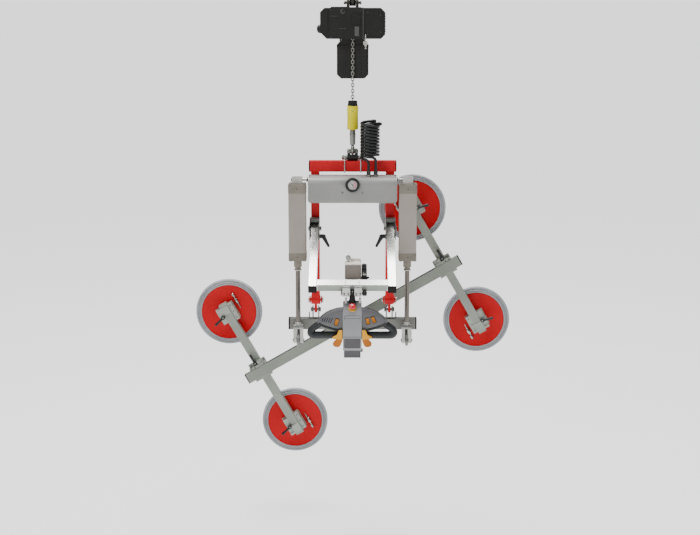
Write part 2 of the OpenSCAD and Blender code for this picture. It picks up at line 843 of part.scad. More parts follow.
// Bolts that stay with the red frame: arm pivots, tilt pins and the cylinders' hanging pins
module pivot_bolts() {
    gap = arm_s / 2 + slide_gap + cheek_t;
    pin_in = rail_x - lug_plate_off - lug_plate_t / 2 - slide_gap;
    pin_out = rail_x + lug_plate_off + lug_plate_t / 2 + slide_gap;
    color("#8f918e") both() {
        rod_x(arm_x - gap - 3, arm_x + gap + 3, arm_pivot_y, arm_pivot_z, arm_bolt_r);
        rod_x(arm_x - gap - 8, arm_x - gap, arm_pivot_y, arm_pivot_z, 9);
        rod_x(arm_x + gap, arm_x + gap + 6, arm_pivot_y, arm_pivot_z, 9);
        rod_x(pin_in - 2, pin_out + 2, 0, tilt_z, tilt_pin_r);
        rod_x(pin_in - 7, pin_in, 0, tilt_z, 9);
        rod_x(pin_out, pin_out + 7, 0, tilt_z, 9);
        rod_x(rail_x - rail_s / 2 - ear_t - 10, rail_x + rail_s / 2 + ear_t + 10, 0, ear_z, 7);
        rod_x(rail_x + rail_s / 2 + ear_t, rail_x + rail_s / 2 + ear_t + 11, 0, ear_z, 16);
        rod_x(rail_x - rail_s / 2 - ear_t - 11, rail_x - rail_s / 2 - ear_t, 0, ear_z, 16);
        rod_x(housing_w / 2 - housing_side_r - 10, cyl_x + 25, cyl_y, hanger_z, hanger_r);
    }
}

module arm_tubes() {
    color("#d6d7d3") both() in_arm() difference() {
        span([arm_x - arm_s / 2, -arm_tail, -arm_s / 2], [arm_x + arm_s / 2, arm_l, arm_s / 2]);
        span([arm_x - arm_s / 2 + tube_wall, 70, -arm_s / 2 + tube_wall],
             [arm_x + arm_s / 2 - tube_wall, arm_l - cap_t, arm_s / 2 - tube_wall]);
        rod_x(arm_x - arm_s, arm_x + arm_s, 0, 0, arm_bolt_r + run_gap);
        rod_x(arm_x - arm_s, arm_x + arm_s, clamp_r, 0, arm_bolt_r);
    }
}

module arm_cross_tube() {
    half = arm_x - arm_s / 2;
    clamp_in = 9;
    clamp_out = 39;
    color("#c9cac6") difference() {
        union() {
            in_arm() difference() {
                translate([0, cross_at, 0]) cube([2 * half, cross_s, cross_s], center = true);
                translate([0, cross_at, 0])
                    cube([2 * half + 2, cross_s - 2 * tube_wall, cross_s - 2 * tube_wall], center = true);
            }
            difference() {
                union() {
                    span([-30, cross_y, -1149], [30, -250, -1143.5]);
                    for (side = [-1, 1]) {
                        x0 = side * (clamp_in + clamp_out) / 2 - (clamp_out - clamp_in) / 2;
                        slab_x(x0, x0 + clamp_out - clamp_in) {
                            translate([yoke_y - 13, yoke_z]) square([26, 24]);
                            translate([yoke_y - 4, yoke_z + 10]) square([22, 22]);
                            translate([yoke_y, yoke_z]) circle(13);
                        }
                    }
                }
                in_arm() translate([0, cross_at, 0])
                    cube([2 * half, cross_s - 1, cross_s - 1], center = true);
            }
        }
        rod_x(-60, 60, yoke_y, yoke_z, 6 + run_gap);
    }
}

// Valve box behind the cross tube, with the vacuum switch on its lid
module valve_box() {
    mid = 3;
    color("#7b7169") {
        span([mid - 33.5, -330, -1143.5], [mid + 33.5, -250, -1082]);
        span([mid - 32, -328, -1082], [mid + 32, -252, -1079]);
        rod_z(-17, -270, -1079, -1072, 4);
        rod_y(-17, -276, -264, -1063, 10.5);
    }
}

module filter_regulator() {
    left = 37.5;
    color("#242424") {
        span([left, -326, -1136], [left + 22, -296, -1100]);
        rod_z(left + 11, -311, -1100, -1080, 10.5);
        span([left - 1, -330, -1144], [left + 30, -290, -1136]);
    }
}

// Clamp lever on the arm's inner side, for the right arm
module clamp_lever() {
    hub_x = arm_x - arm_s / 2 - slide_gap - cheek_t - slide_gap;
    color("#1f2020") in_arm() {
        rod_x(hub_x - 24, hub_x, clamp_r, 0, 9);
        rod_x(hub_x - 27, hub_x - 24, clamp_r, 0, 6);
        rod_x(hub_x - 1, arm_x - arm_s / 2 + 1, clamp_r, 0, arm_bolt_r - run_gap);
    }
    color("#1f2020") translate([hub_x - 16, arm_pivot_y - clamp_r * cos(arm_slope),
                                arm_pivot_z - clamp_r * sin(arm_slope)])
        rotate([0, 28, 0]) translate([0, 0, -48]) {
            cylinder(h = 48, r1 = 4.5, r2 = 7);
            sphere(4.5);
        }
}

module clamp_lever_left() { mirror([1, 0, 0]) clamp_lever(); }

module clamp_lever_right() { clamp_lever(); }

// Outline of the handle's middle, seen from the side
module spine_outline() {
    polygon([
        [-355, spine_top], [-368, spine_top], [-402, -1260], [-416, -1362], [-404, -1416],
        [-398, -1422], [-396, spine_low], [-356, spine_low], [-350, -1400], [-352, -1300]
    ]);
}

module handle_yoke() {
    bar_t = 8;
    color("#4a4b4b") {
        for (x = [-8.5, 0.5])
            slab_x(x, x + bar_t) {
                translate([yoke_y, yoke_z]) circle(11);
                translate([yoke_y - 2, spine_top]) square([15, yoke_z - spine_top]);
            }
        slab_x(-32, 32) translate([-368, spine_top]) square([13, 6]);
        rod_x(-44, 60, yoke_y, yoke_z, 6);
        rod_x(40, 58, yoke_y, yoke_z, 11);
        rod_x(-45, -40, yoke_y, yoke_z, 9);
    }
}

module handle_spine() {
    low_w = 68;
    recess = 2;
    color("#8a8b8d") difference() {
        union() {
            intersection() {
                slab_x(-spine_w / 2, spine_w / 2) spine_outline();
                span([-spine_w / 2, -500, -1420], [spine_w / 2, -300, spine_top + 1]);
            }
            slab_x(-low_w / 2, low_w / 2) spine_outline();
            rod_x(low_w / 2 - 1, low_w / 2 + 9, -376, -1426, 7);
        }
        span([-33, -500, -1325], [33, wing_front - recess - 4, -1277]);
        translate([0, estop_y, estop_z]) rotate([estop_tilt, 0, 0]) rod_z(0, 0, -18, 30, 5 + run_gap);
        both() rod_x(spine_w / 2 - 12, 60, trigger_y, trigger_z, trigger_pin_r + run_gap);
    }
    color("#c9a62f") translate([0, estop_y, estop_z]) rotate([estop_tilt, 0, 0]) difference() {
        cylinder(h = 5, r = 15.5);
        rod_z(0, 0, -1, 6, 5 + run_gap);
    }
}

// One wing of the handle, right side, with the seats of its switches
module wing_outline() {
    in = spine_w / 2;
    polygon([
        [in, -1245], [70, -1250], [104, -1263], [128, -1283], [143, -1302],
        [135, -1317], [100, -1329], [64, -1340], [in, -1342]
    ]);
}

// Places of the three switches: X, Z and lean in degrees
switch_left = [-63, -1302, 14];
switch_inner = [62.5, -1298, -12];
switch_outer = [86, -1292.5, -25];
switch_w = 13;
switch_h = 26;

module at_switch(place) {
    translate([place[0], wing_front, place[1]]) rotate([0, place[2], 0]) children();
}

module side_panels() {
    color("#6f6f72") difference() {
        both() slab_y(wing_front, wing_front + wing_t) wing_outline();
        for (place = [switch_left, switch_inner, switch_outer])
            at_switch(place) translate([-switch_w / 2 - 0.5, -1, -switch_h / 2 - 0.5])
                cube([switch_w + 1, 13, switch_h + 1]);
        both() translate([138, grip_y, -1316]) sphere(grip_d / 2 + seat_gap);
        both() grip_leg(seat_gap);
    }
    color("#a0a0a0") for (place = [switch_left, switch_inner, switch_outer])
        at_switch(place) rod_x(-switch_w / 2 - 1, switch_w / 2 + 1, 4, 0, 1.5 - run_gap);
}

// The sloping outer leg of a grip, right side
module grip_leg(extra) {
    leg = [grip_corner, grip_z] - [138, -1316];
    translate([138, grip_y, -1316]) rotate([0, 90 + atan2(-leg[1], leg[0]), 0])
        cylinder(h = norm(leg), r = grip_d / 2 - 1 + extra);
}

module handle_grips() {
    color("#2f3235") both() {
        rod_x(spine_w / 2, grip_corner, grip_y, grip_z, grip_d / 2);
        translate([grip_corner, grip_y, grip_z]) sphere(grip_d / 2 + 1.2);
        grip_leg(0);
        translate([138, grip_y, -1316]) sphere(grip_d / 2);
    }
}

module estop_button() {
    color("#d8404a") translate([0, estop_y, estop_z]) rotate([estop_tilt, 0, 0]) {
        rod_z(0, 0, -8, 14, 5);
        rod_z(0, 0, 12, 18, estop_d / 2);
        translate([0, 0, 18]) cylinder(h = 5, r1 = estop_d / 2, r2 = estop_d / 2 - 5);
    }
}

// A rocker switch cap with two sloping halves
module rocker(place) {
    color("#c98a1f") at_switch(place) difference() {
        slab_x(-switch_w / 2, switch_w / 2)
            polygon([[8, -switch_h / 2 + 1], [8, switch_h / 2 - 1], [-4, switch_h / 2 - 1],
                     [-1.5, 0], [-4, -switch_h / 2 + 1]]);
        rod_x(-20, 20, 4, 0, 1.5);
    }
}

module rocker_left() { rocker(switch_left); }

module rocker_inner() { rocker(switch_inner); }

module rocker_outer() { rocker(switch_outer); }

// A two-lobed finger trigger, right side
module trigger() {
    color("#d9992a") {
        slab_y(trigger_y - 6, trigger_y + 4) polygon([
            [41, -1332], [55, -1335], [61, -1352], [79, -1362], [78, -1369], [63, -1369],
            [77, -1384], [75, -1399], [61, -1404], [48, -1400], [41, -1376]
        ]);
        rod_x(spine_w / 2 - 11, 42, trigger_y, trigger_z, trigger_pin_r);
    }
}

module trigger_left() { mirror([1, 0, 0]) trigger(); }

module trigger_right() { trigger(); }

// Lever that a rod fork drives: a slotted plate that runs down and forward from the tilt bar
module lever_outline() {
    dir = [-sin(45), -cos(45)];
    difference() {
        union() {
            translate([0, tilt_z]) rotate(-45)
                translate([-lever_half, -lever_out]) square([2 * lever_half, lever_out - 60]);
            translate([0, tilt_z] + lever_out * dir) circle(lever_half);
            translate([-tilt_bar_s / 2 - 30, tilt_bar_z - tilt_bar_s / 2]) square([60, tilt_bar_s]);
        }
        translate([0, tilt_z] + lever_in * dir) circle(lever_slot);
        translate([0, tilt_z] + lever_out * dir) circle(lever_slot);
        translate([0, tilt_z]) rotate(-45) translate([-lever_slot, -lever_out])
            square([2 * lever_slot, lever_out - lever_in]);
    }
}

module tilt_bar() {
    color("#83827f") {
        square_tube_x(tilt_bar_l / 2, 0, tilt_bar_z, tilt_bar_s, tube_wall);
        both() {
            for (off = [-lug_plate_off, lug_plate_off]) difference() {
                slab_x(rail_x + off - lug_plate_t / 2, rail_x + off + lug_plate_t / 2) {
                    translate([0, tilt_z]) circle(16);
                    translate([-16, tilt_bar_z + tilt_bar_s / 2]) square([32, tilt_z - tilt_bar_z - tilt_bar_s / 2]);
                }
                rod_x(rail_x - 60, rail_x + 60, 0, tilt_z, tilt_pin_r + run_gap);
            }
        }
    }
}

module swivel_hub() {
    color("#6c6d6b") difference() {
        union() {
            span([-70, tilt_bar_s / 2, tilt_bar_z - 80], [70, hub_y, tilt_bar_z + tilt_bar_s / 2]);
            rod_y(0, hub_y - 1, hub_end, hub_z, hub_r);
        }
        rod_y(0, hub_y + 6, hub_end + 1, hub_z, shaft_r + run_gap);
    }
}

module main_beam() {
    color("#8c9288") {
        in_beam() translate([0, beam_mid, 0]) difference() {
            cube([beam_l, beam_d, beam_h], center = true);
            translate([-beam_l / 2 - 1, -beam_d / 2 + tube_wall, -beam_h / 2 + tube_wall])
                cube([beam_l / 2 - 60, beam_d - 2 * tube_wall, beam_h - 2 * tube_wall]);
            translate([62, -beam_d / 2 + tube_wall, -beam_h / 2 + tube_wall])
                cube([beam_l / 2, beam_d - 2 * tube_wall, beam_h - 2 * tube_wall]);
        }
        for (side = [-1, 1]) in_beam()
            translate([side * (beam_l / 2 + cap_t / 2), beam_mid, 0]) cube([cap_t, beam_d, beam_h], center = true);
        rod_y(0, hub_y + 8, beam_y, hub_z, shaft_r);
        rod_y(0, hub_end + slide_gap, beam_y + 1, hub_z, hub_r - 5);
    }
}

// Saddle that clamps a cross arm to the beam, drawn at the left end
module carriage(side) {
    half = carriage_w / 2;
    back = beam_y + beam_d + slide_gap;
    low = beam_h / 2 + slide_gap;
    color("#8f958b") in_beam() mirror([side > 0 ? 1 : 0, 0, 0]) translate([-cross_u, 0, 0]) {
        difference() {
            union() {
                span([-half, back, -low - 10], [half, back + carriage_t, low + 26]);
                span([-half, beam_y + 4, low], [half, back + 1, low + 12]);
                span([11 - lever_u, beam_y + 8, low + 12], [half - 8, back + 1, low + 26]);
                span([-half, beam_y + 4, -low - 10], [half, back + 1, -low]);
                span([-cross_arm_s / 2 - seat_gap - 12, back + carriage_t - 1, -32],
                     [-cross_arm_s / 2 - seat_gap, arm_back - 6, 40]);
                span([cross_arm_s / 2 + seat_gap, back + carriage_t - 1, -32],
                     [cross_arm_s / 2 + seat_gap + 12, arm_back - 6, 40]);
            }
            for (s = [-1, 1]) rod_y(s * (half - 9), beam_y, arm_back, low + 6, 3);
            rod_y(-lever_u, back - 1, arm_front, lever_v, stud_r + run_gap);
        }
    }
}

// Clamping lever of a saddle; its handle lies in front of the cross arm
module arm_lever(side) {
    color("#222322") in_beam() mirror([side > 0 ? 1 : 0, 0, 0]) translate([-cross_u - lever_u, 0, lever_v]) {
        rod_y(0, lever_seat - 18, lever_seat, 0, 9);
        rod_y(0, lever_seat - 1, lever_seat + 8, 0, stud_r);
        rod_z(0, lever_seat - 13, 0, 23, 4.7);
        translate([0, lever_seat - 13, 22]) cylinder(h = 24, r1 = 5, r2 = 6.5);
    }
}

module arm_lever_left() { arm_lever(-1); }

module arm_lever_right() { arm_lever(1); }

module cross_arm(side) {
    carriage(side);
    inner = cross_arm_s - 2 * tube_wall;
    mid = arm_front + cross_arm_s / 2;
    color("#8c9288") in_beam() translate([side * cross_u, mid, 0]) {
        difference() {
            cube([cross_arm_s, cross_arm_s, cross_arm_l - 2 * cap_t], center = true);
            cube([inner, inner, cross_arm_l], center = true);
        }
        for (s = [-1, 1]) translate([0, 0, s * (cross_arm_l / 2 - cap_t / 2)])
            cube([cross_arm_s, cross_arm_s, cap_t], center = true);
    }
}

module cross_arm_left() { cross_arm(-1); }

module cross_arm_right() { cross_arm(1); }

// Frame of one pad: origin on its axis, local X towards the hub, local Z along the cross arm
module in_pad(side, up) {
    in_beam() mirror([side > 0 ? 1 : 0, 0, 0]) translate([-cross_u, 0, up * pad_v]) children();
}

// Clamp that carries a pad on its cross arm: plate, two jaws and a strip over the arm
module pad_mount(side, up) {
    free = cross_arm_s / 2 + slide_gap;
    base = arm_back + slide_gap;
    jaw = -free - 22;
    front = arm_front - 3;
    color("#8f958b") in_pad(side, up) difference() {
        union() {
            span([-46, base, -38], [40, mount_back, 40]);
            span([free, arm_front + 6, -42], [free + 20, mount_back, 42]);
            span([jaw, arm_front + 3, -34], [-free, mount_back, 38]);
            if (up > 0) {
                span([jaw, front, 2], [cross_arm_s / 2, arm_front - slide_gap, 38]);
                span([jaw, front, 2], [-free, arm_front + 4, 38]);
            }
            if (up < 0) {
                span([-free - 1, front, -42], [cross_arm_s / 2, arm_front - slide_gap, -2]);
                span([jaw, front, -42], [-free, mount_back, -33]);
            }
            rod_y(0, mount_back - 1, plate_front, 0, 26);
        }
        for (x = [-36, 32]) rod_y(x, base - 1, mount_back + 1, 0, 4);
        rod_y(-pad_lever_u, front - 1, front + 16, 0, stud_r + run_gap);
    }
}

// Clamping lever of a pad, pointing away from the hub
module pad_lever(side, up) {
    seat = arm_front - 3 - slide_gap;
    color("#222322") in_pad(side, up) translate([-pad_lever_u, 0, 0]) rotate([0, -15, 0]) {
        rod_y(0, seat - 18, seat, 0, 9);
        rod_y(0, seat - 1, seat + 14, 0, stud_r);
        rod_x(-26, 0, seat - 13, 0, 4.2);
        translate([-25, seat - 13, 0]) rotate([0, -90, 0]) cylinder(h = 25, r1 = 4.5, r2 = 6);
    }
}

module pad_plate(side, up) {
    color("#c0211f") in_pad(side, up) difference() {
        rod_y(0, plate_front, plate_front + plate_t, 0, plate_d / 2);
        rod_y(0, plate_front + 5, plate_front + plate_t + 1, 0, plate_d / 2 - 24);
        rod_y(-72, plate_front - 1, plate_front + plate_t + 1, 0, 4);
    }
}

module pad_seal(side, up) {
    r = pad_d / 2;
    back = plate_front + plate_t;
    in = plate_d / 2 + 0.4;
    color("#8f9296") in_pad(side, up) rotate([-90, 0, 0]) rotate_extrude() difference() {
        polygon([
            [pad_inner, back], [in, back], [in, plate_front + 1], [in + 7, plate_front - 1],
            [r - 8, plate_front + 4], [r, plate_front + 9], [r, seal_lip - 6], [r - 3, seal_lip],
            [r - 14, seal_lip], [r - 22, seal_lip - 8], [pad_inner, seal_lip - 9]
        ]);
        translate([in + 13, plate_front]) circle(3);
    }
}

module pad_mount_1() { pad_mount(-1, 1); }
module pad_mount_2() { pad_mount(-1, -1); }
module pad_mount_3() { pad_mount(1, 1); }
module pad_mount_4() { pad_mount(1, -1); }
module pad_lever_1() { pad_lever(-1, 1); }
module pad_lever_2() { pad_lever(-1, -1); }
module pad_lever_3() { pad_lever(1, 1); }
module pad_lever_4() { pad_lever(1, -1); }
module pad_plate_1() { pad_plate(-1, 1); }
module pad_plate_2() { pad_plate(-1, -1); }
module pad_plate_3() { pad_plate(1, 1); }
module pad_plate_4() { pad_plate(1, -1); }
module pad_seal_1() { pad_seal(-1, 1); }
module pad_seal_2() { pad_seal(-1, -1); }
module pad_seal_3() { pad_seal(1, 1); }
module pad_seal_4() { pad_seal(1, -1); }

// The levers are welded to the tilt bar outside the rails
module tilt_levers() {
    color("#83827f") both() slab_x(cyl_x - lever_t / 2, cyl_x + lever_t / 2) difference() {
        lever_outline();
        translate([-tilt_bar_s / 2, tilt_bar_z - tilt_bar_s / 2]) square(tilt_bar_s);
    }
}

hoist_housing();
chain_container();
suspension_lugs();
load_chain();
hook_sleeve();
swivel_hook();
hang_block();
hang_plates();
red_frame();
housing_cover();
housing_back();
vacuum_pump();
gauge_case();
gauge_needle();
spiral_hose();
hose_fittings();
cylinder_barrels();
cylinder_heads();
arm_brackets();
pivot_bolts();
piston_rods();
arm_tubes();
arm_cross_tube();
valve_box();
filter_regulator();
clamp_lever_left();
clamp_lever_right();
handle_yoke();
handle_spine();
side_panels();
handle_grips();
estop_button();
rocker_left();
rocker_inner();
rocker_outer();
trigger_left();
trigger_right();
union() { tilt_bar(); tilt_levers(); }
swivel_hub();
main_beam();
cross_arm_left();
cross_arm_right();
arm_lever_left();
arm_lever_right();
pad_mount_1();
pad_mount_2();
pad_mount_3();
pad_mount_4();
pad_lever_1();
pad_lever_2();
pad_lever_3();
pad_lever_4();
pad_plate_1();
pad_plate_2();
pad_plate_3();
pad_plate_4();
pad_seal_1();
pad_seal_2();
pad_seal_3();
pad_seal_4();
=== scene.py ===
"""Dressed model of a hanging vacuum lifter for glass panels.

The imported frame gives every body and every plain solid. This script adds the shapes and the
finishes that the eye sees: mouldings, lathed parts, hoses, screws and surface treatments. All
sizes are millimetres in the frame of the crane eye, and become metres as a mesh is made.
"""
import logging
import math
from dataclasses import dataclass, field
from enum import Enum
from typing import Iterable, Sequence

import bpy
import numpy as np
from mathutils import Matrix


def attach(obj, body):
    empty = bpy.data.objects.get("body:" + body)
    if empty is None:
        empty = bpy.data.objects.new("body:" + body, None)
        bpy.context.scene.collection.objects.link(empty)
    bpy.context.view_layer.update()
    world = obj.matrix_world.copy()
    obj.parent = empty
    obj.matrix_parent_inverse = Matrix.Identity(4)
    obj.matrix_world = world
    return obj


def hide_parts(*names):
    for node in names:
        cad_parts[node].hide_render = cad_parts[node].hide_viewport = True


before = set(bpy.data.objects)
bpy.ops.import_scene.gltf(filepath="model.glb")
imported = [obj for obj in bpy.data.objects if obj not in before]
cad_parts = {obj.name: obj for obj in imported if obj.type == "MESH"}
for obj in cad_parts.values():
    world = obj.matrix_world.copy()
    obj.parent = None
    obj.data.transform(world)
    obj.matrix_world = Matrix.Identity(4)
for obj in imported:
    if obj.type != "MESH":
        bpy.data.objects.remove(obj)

LOG = logging.getLogger("glass_lifter")
MM = 0.001
# Faces that meet at more than this are drawn with a sharp edge, or a rounded one.
SHARP_ANGLE = math.radians(32)
ROUND_ANGLE = math.radians(40)
# Share of the fine grain beside the soft clouds in a surface's colour and gloss.
GRAIN_SHARE = 0.35
# How many times as long as wide the streaks of a brushed or drawn surface are.
STREAK = 40.0
# Corners of a plain solid that lie closer than this, in metres, count as one.
WELD_GAP = 1e-6
# Radius of the tiny circle that stands for a lathed skin's tip, in millimetres.
TIP_RADIUS = 0.05
Array = np.ndarray
Point = Sequence[float]


class Axis(Enum):
    """Direction along which an outline is drawn out."""

    X = 0
    Y = 1
    Z = 2


X, Y, Z = Axis


class Texture(Enum):
    """How a surface was made, which decides the pattern on it."""

    GRAIN = "grain"
    BRUSHED = "brushed"
    CAST = "cast"


def linear(colour: str) -> tuple[float, float, float, float]:
    """Turn an sRGB hex value into linear light, by the standard curve of sRGB.

    Args:
        colour: Hex value such as "#c4201f".

    Returns:
        Red, green, blue and an alpha of one.
    """
    code = np.array([int(colour[i:i + 2], 16) for i in (1, 3, 5)]) / 255.0
    light = np.where(code <= 0.04045, code / 12.92, ((code + 0.055) / 1.055) ** 2.4)
    return (float(light[0]), float(light[1]), float(light[2]), 1.0)


def add_node(tree: bpy.types.NodeTree, kind: str, settings: dict | None = None,
             inputs: dict | None = None) -> bpy.types.Node:
    """Add one shader node with its settings, constants and links.

    Args:
        tree: Node tree that takes the node.
        kind: Class name of the node.
        settings: Properties of the node, by name.
        inputs: Input sockets by name or number, each a constant or an output socket to link.

    Returns:
        The new node.
    """
    node = tree.nodes.new(kind)
    for name, value in (settings or {}).items():
        setattr(node, name, value)
    for name, value in (inputs or {}).items():
        if isinstance(value, bpy.types.NodeSocket):
            tree.links.new(value, node.inputs[name])
        else:
            node.inputs[name].default_value = value
    return node


def empty_material(name: str) -> bpy.types.Material:
    """Make a node material that has no nodes yet."""
    made = bpy.data.materials.new(name)
    made.use_nodes = True
    made.node_tree.nodes.clear()
    return made


def add_object(name: str, data: bpy.types.ID) -> bpy.types.Object:
    """Make an object from its data and link it to the scene."""
    made = bpy.data.objects.new(name, data)
    bpy.context.scene.collection.objects.link(made)
    return made


@dataclass(frozen=True)
class Finish:
    """A real material with its colour, gloss and surface pattern.

    Attributes:
        name: Name of the material.
        colour: Main colour, sRGB hex.
        tint: Colour that clouds or streaks lean towards, sRGB hex.
        metallic: 1 for bare metal, 0 for paint, plastic and rubber.
        roughness: Mean roughness of the surface.
        spread: How far the roughness wanders from its mean.
        grain: Size of the surface grain, in millimetres.
        relief: Height of the grain, in millimetres.
        cloud: Size of the soft clouds in the colour, in millimetres.
        texture: Pattern of the grain.
        turn: Turn of the pattern about the Y axis, in degrees, which lays streaks along a beam.
        along: Axis that streaks follow before that turn.
        coat: Strength of a clear top layer.
        specular: Strength of the reflection of paint, plastic or rubber; 0.5 is the usual one.
        see_through: Alpha of a window, 1 where nothing shows through.
    """

    name: str
    colour: str
    tint: str
    metallic: float = 0.0
    roughness: float = 0.5
    spread: float = 0.08
    grain: float = 3.0
    relief: float = 0.05
    cloud: float = 90.0
    texture: Texture = Texture.GRAIN
    turn: float = 0.0
    along: Axis = X
    coat: float = 0.0
    specular: float = 0.5
    see_through: float = 1.0

    def pattern_scale(self) -> tuple[float, float, float]:
        """Return the pattern's scale along X, Y and Z, drawn out along the streaks."""
        scale = [1.0, 1.0, 1.0]
        if self.texture is Texture.BRUSHED:
            scale[self.along.value] = 1.0 / STREAK
        return (scale[0], scale[1], scale[2])

    def material(self) -> bpy.types.Material:
        """Build the material once and return it on later calls.

        Returns:
            A node material whose clouds tint the colour and whose grain bends the normal.
        """
        found = bpy.data.materials.get(self.name)
        if found is not None:
            return found
        made = empty_material(self.name)
        tree = made.node_tree
        where = add_node(tree, "ShaderNodeTexCoord").outputs["Object"]
        turned = add_node(tree, "ShaderNodeMapping", {"vector_type": "POINT"}, {
            "Vector": where, "Rotation": (0.0, math.radians(self.turn), 0.0),
            "Scale": (1.0, 1.0, 1.0)}).outputs["Vector"]
        drawn = add_node(tree, "ShaderNodeMapping", {"vector_type": "POINT"}, {
            "Vector": turned, "Scale": self.pattern_scale()}).outputs["Vector"]
        clouds = add_node(tree, "ShaderNodeTexNoise", {}, {
            "Vector": turned, "Scale": 1000.0 / self.cloud, "Detail": 3.0,
            "Roughness": 0.55}).outputs["Fac"]
        if self.texture is Texture.CAST:
            grain = add_node(tree, "ShaderNodeTexVoronoi", {"feature": "SMOOTH_F1"}, {
                "Vector": drawn, "Scale": 1000.0 / self.grain}).outputs["Distance"]
        else:
            grain = add_node(tree, "ShaderNodeTexNoise", {}, {
                "Vector": drawn, "Scale": 1000.0 / self.grain, "Detail": 2.0,
                "Roughness": 0.6}).outputs["Fac"]
        both = add_node(tree, "ShaderNodeMath", {"operation": "MULTIPLY_ADD"}, {
            0: grain, 1: GRAIN_SHARE, 2: clouds}).outputs[0]
        share = add_node(tree, "ShaderNodeMapRange", {}, {
            "Value": both, "From Min": 0.45, "From Max": 0.95}).outputs["Result"]
        blend = add_node(tree, "ShaderNodeMix", {"data_type": "RGBA"}, {
            "Factor": share, "A": linear(self.colour), "B": linear(self.tint)})
        gloss = add_node(tree, "ShaderNodeMapRange", {}, {
            "Value": both, "From Min": 0.3, "From Max": 1.0,
            "To Min": max(0.03, self.roughness - self.spread),
            "To Max": min(1.0, self.roughness + self.spread)}).outputs["Result"]
        bump = add_node(tree, "ShaderNodeBump", {}, {
            "Strength": 0.6, "Distance": self.relief * MM, "Height": grain}).outputs["Normal"]
        shader = add_node(tree, "ShaderNodeBsdfPrincipled", {}, {
            "Base Color": blend.outputs["Result"], "Roughness": gloss, "Normal": bump,
            "Metallic": self.metallic, "Specular IOR Level": self.specular,
            "Coat Weight": self.coat, "Coat Roughness": 0.12,
            "Alpha": self.see_through})
        add_node(tree, "ShaderNodeOutputMaterial", {}, {"Surface": shader.outputs[0]})
        return made


# Powder coat: a thick baked film with a faint orange peel of about 2 mm, drawn at 4 mm to show.
RED_POWDER = Finish("red_powder_coat", "#cc0818", "#b40615", roughness=0.36, grain=4.0,
                    specular=0.2)
BLACK_POWDER = Finish("black_powder_coat", "#171716", "#21211f", relief=0.12, texture=Texture.CAST,
                      specular=0.25)
# Textured paint on the hoist's die castings: satin, with fine pimples.
HOIST_PAINT = Finish("hoist_structure_paint", "#151514", "#1e1e1c", roughness=0.46, grain=2.6,
                     relief=0.22, texture=Texture.CAST, cloud=140.0, specular=0.22)
HOIST_FACE = Finish("hoist_smooth_paint", "#1d1d1b", "#282826", roughness=0.34, grain=4.0,
                    specular=0.35)
# Edge of the cast flange, left less glossy and a little paler than the painted faces.
FLANGE_METAL = Finish("hoist_flange_metal", "#4b4c49", "#3e3f3c", metallic=0.3, roughness=0.45)
# Polyethylene tub of the chain store: waxy, softly clouded.
TUB_PLASTIC = Finish("black_polyethylene", "#161615", "#201f1d", grain=2.0, relief=0.08,
                     cloud=120.0, specular=0.25)
# Zinc plating: bright grey with soft bluish and yellowish clouds.
ZINC = Finish("bright_zinc_plate", "#b4b3ae", "#8f908d", metallic=0.9, roughness=0.34, spread=0.1,
              grain=2.0, relief=0.03, cloud=25.0)
DARK_ZINC = Finish("passivated_zinc_plate", "#868883", "#6c6e6a", metallic=0.85, roughness=0.42,
                   grain=2.0, cloud=30.0)
CHAIN_STEEL = Finish("hardened_chain_steel", "#8f8e88", "#72716c", metallic=0.9, roughness=0.3,
                     grain=2.0, relief=0.02, cloud=12.0)
HOOK_STEEL = Finish("forged_galvanised_steel", "#8d8e89", "#6e6f69", metallic=0.85, roughness=0.42,
                    relief=0.15, texture=Texture.CAST, cloud=30.0)
SHOT_STEEL = Finish("blackened_steel", "#33332f", "#45443f", metallic=0.7, roughness=0.42,
                    grain=2.0, cloud=20.0)
# Hard chrome on the ground piston rods: a mirror with the faintest turning marks.
CHROME = Finish("hard_chrome", "#6a6560", "#5c5753", metallic=1.0, roughness=0.16, spread=0.04,
                grain=1.5, relief=0.004, texture=Texture.BRUSHED, cloud=60.0)
# Silver stove enamel on the housing's sheet steel: metallic flakes under a soft gloss.
SILVER_ENAMEL = Finish("silver_stove_enamel", "#8e8e8b", "#80807d", metallic=0.12, spread=0.06,
                       grain=2.2, relief=0.03, cloud=160.0, specular=0.3)
# Anodised extrusions: streaks run along the profile, each about 1.5 mm wide, drawn at 3 mm.
BEAM_ALUMINIUM = Finish("anodised_beam_aluminium", "#7f867c", "#71786e", metallic=0.35,
                        roughness=0.45, relief=0.03, texture=Texture.BRUSHED, turn=30.0,
                        cloud=220.0)
CROSS_ALUMINIUM = Finish("anodised_cross_arm_aluminium", "#8c9288", "#7d837a", metallic=0.35,
                         roughness=0.43, relief=0.03, texture=Texture.BRUSHED, turn=30.0, along=Z,
                         cloud=220.0)
BAR_ALUMINIUM = Finish("anodised_bar_aluminium", "#767672", "#686864", metallic=0.4, roughness=0.42,
                       relief=0.03, texture=Texture.BRUSHED, cloud=200.0)
ARM_ALUMINIUM = Finish("polished_arm_aluminium", "#dcdcd8", "#cbccc8", metallic=0.85,
                       roughness=0.24, spread=0.06, relief=0.02, texture=Texture.BRUSHED, along=Z,
                       cloud=200.0)
TUBE_ALUMINIUM = Finish("polished_tube_aluminium", "#c2c3bf", "#aeafab", metallic=0.8,
                        roughness=0.28, relief=0.02, texture=Texture.BRUSHED, cloud=200.0)
MOUNT_ALUMINIUM = Finish("milled_aluminium", "#989e94", "#868c83", metallic=0.45, roughness=0.38,
                         grain=2.5, relief=0.03, texture=Texture.BRUSHED, turn=30.0, cloud=60.0)
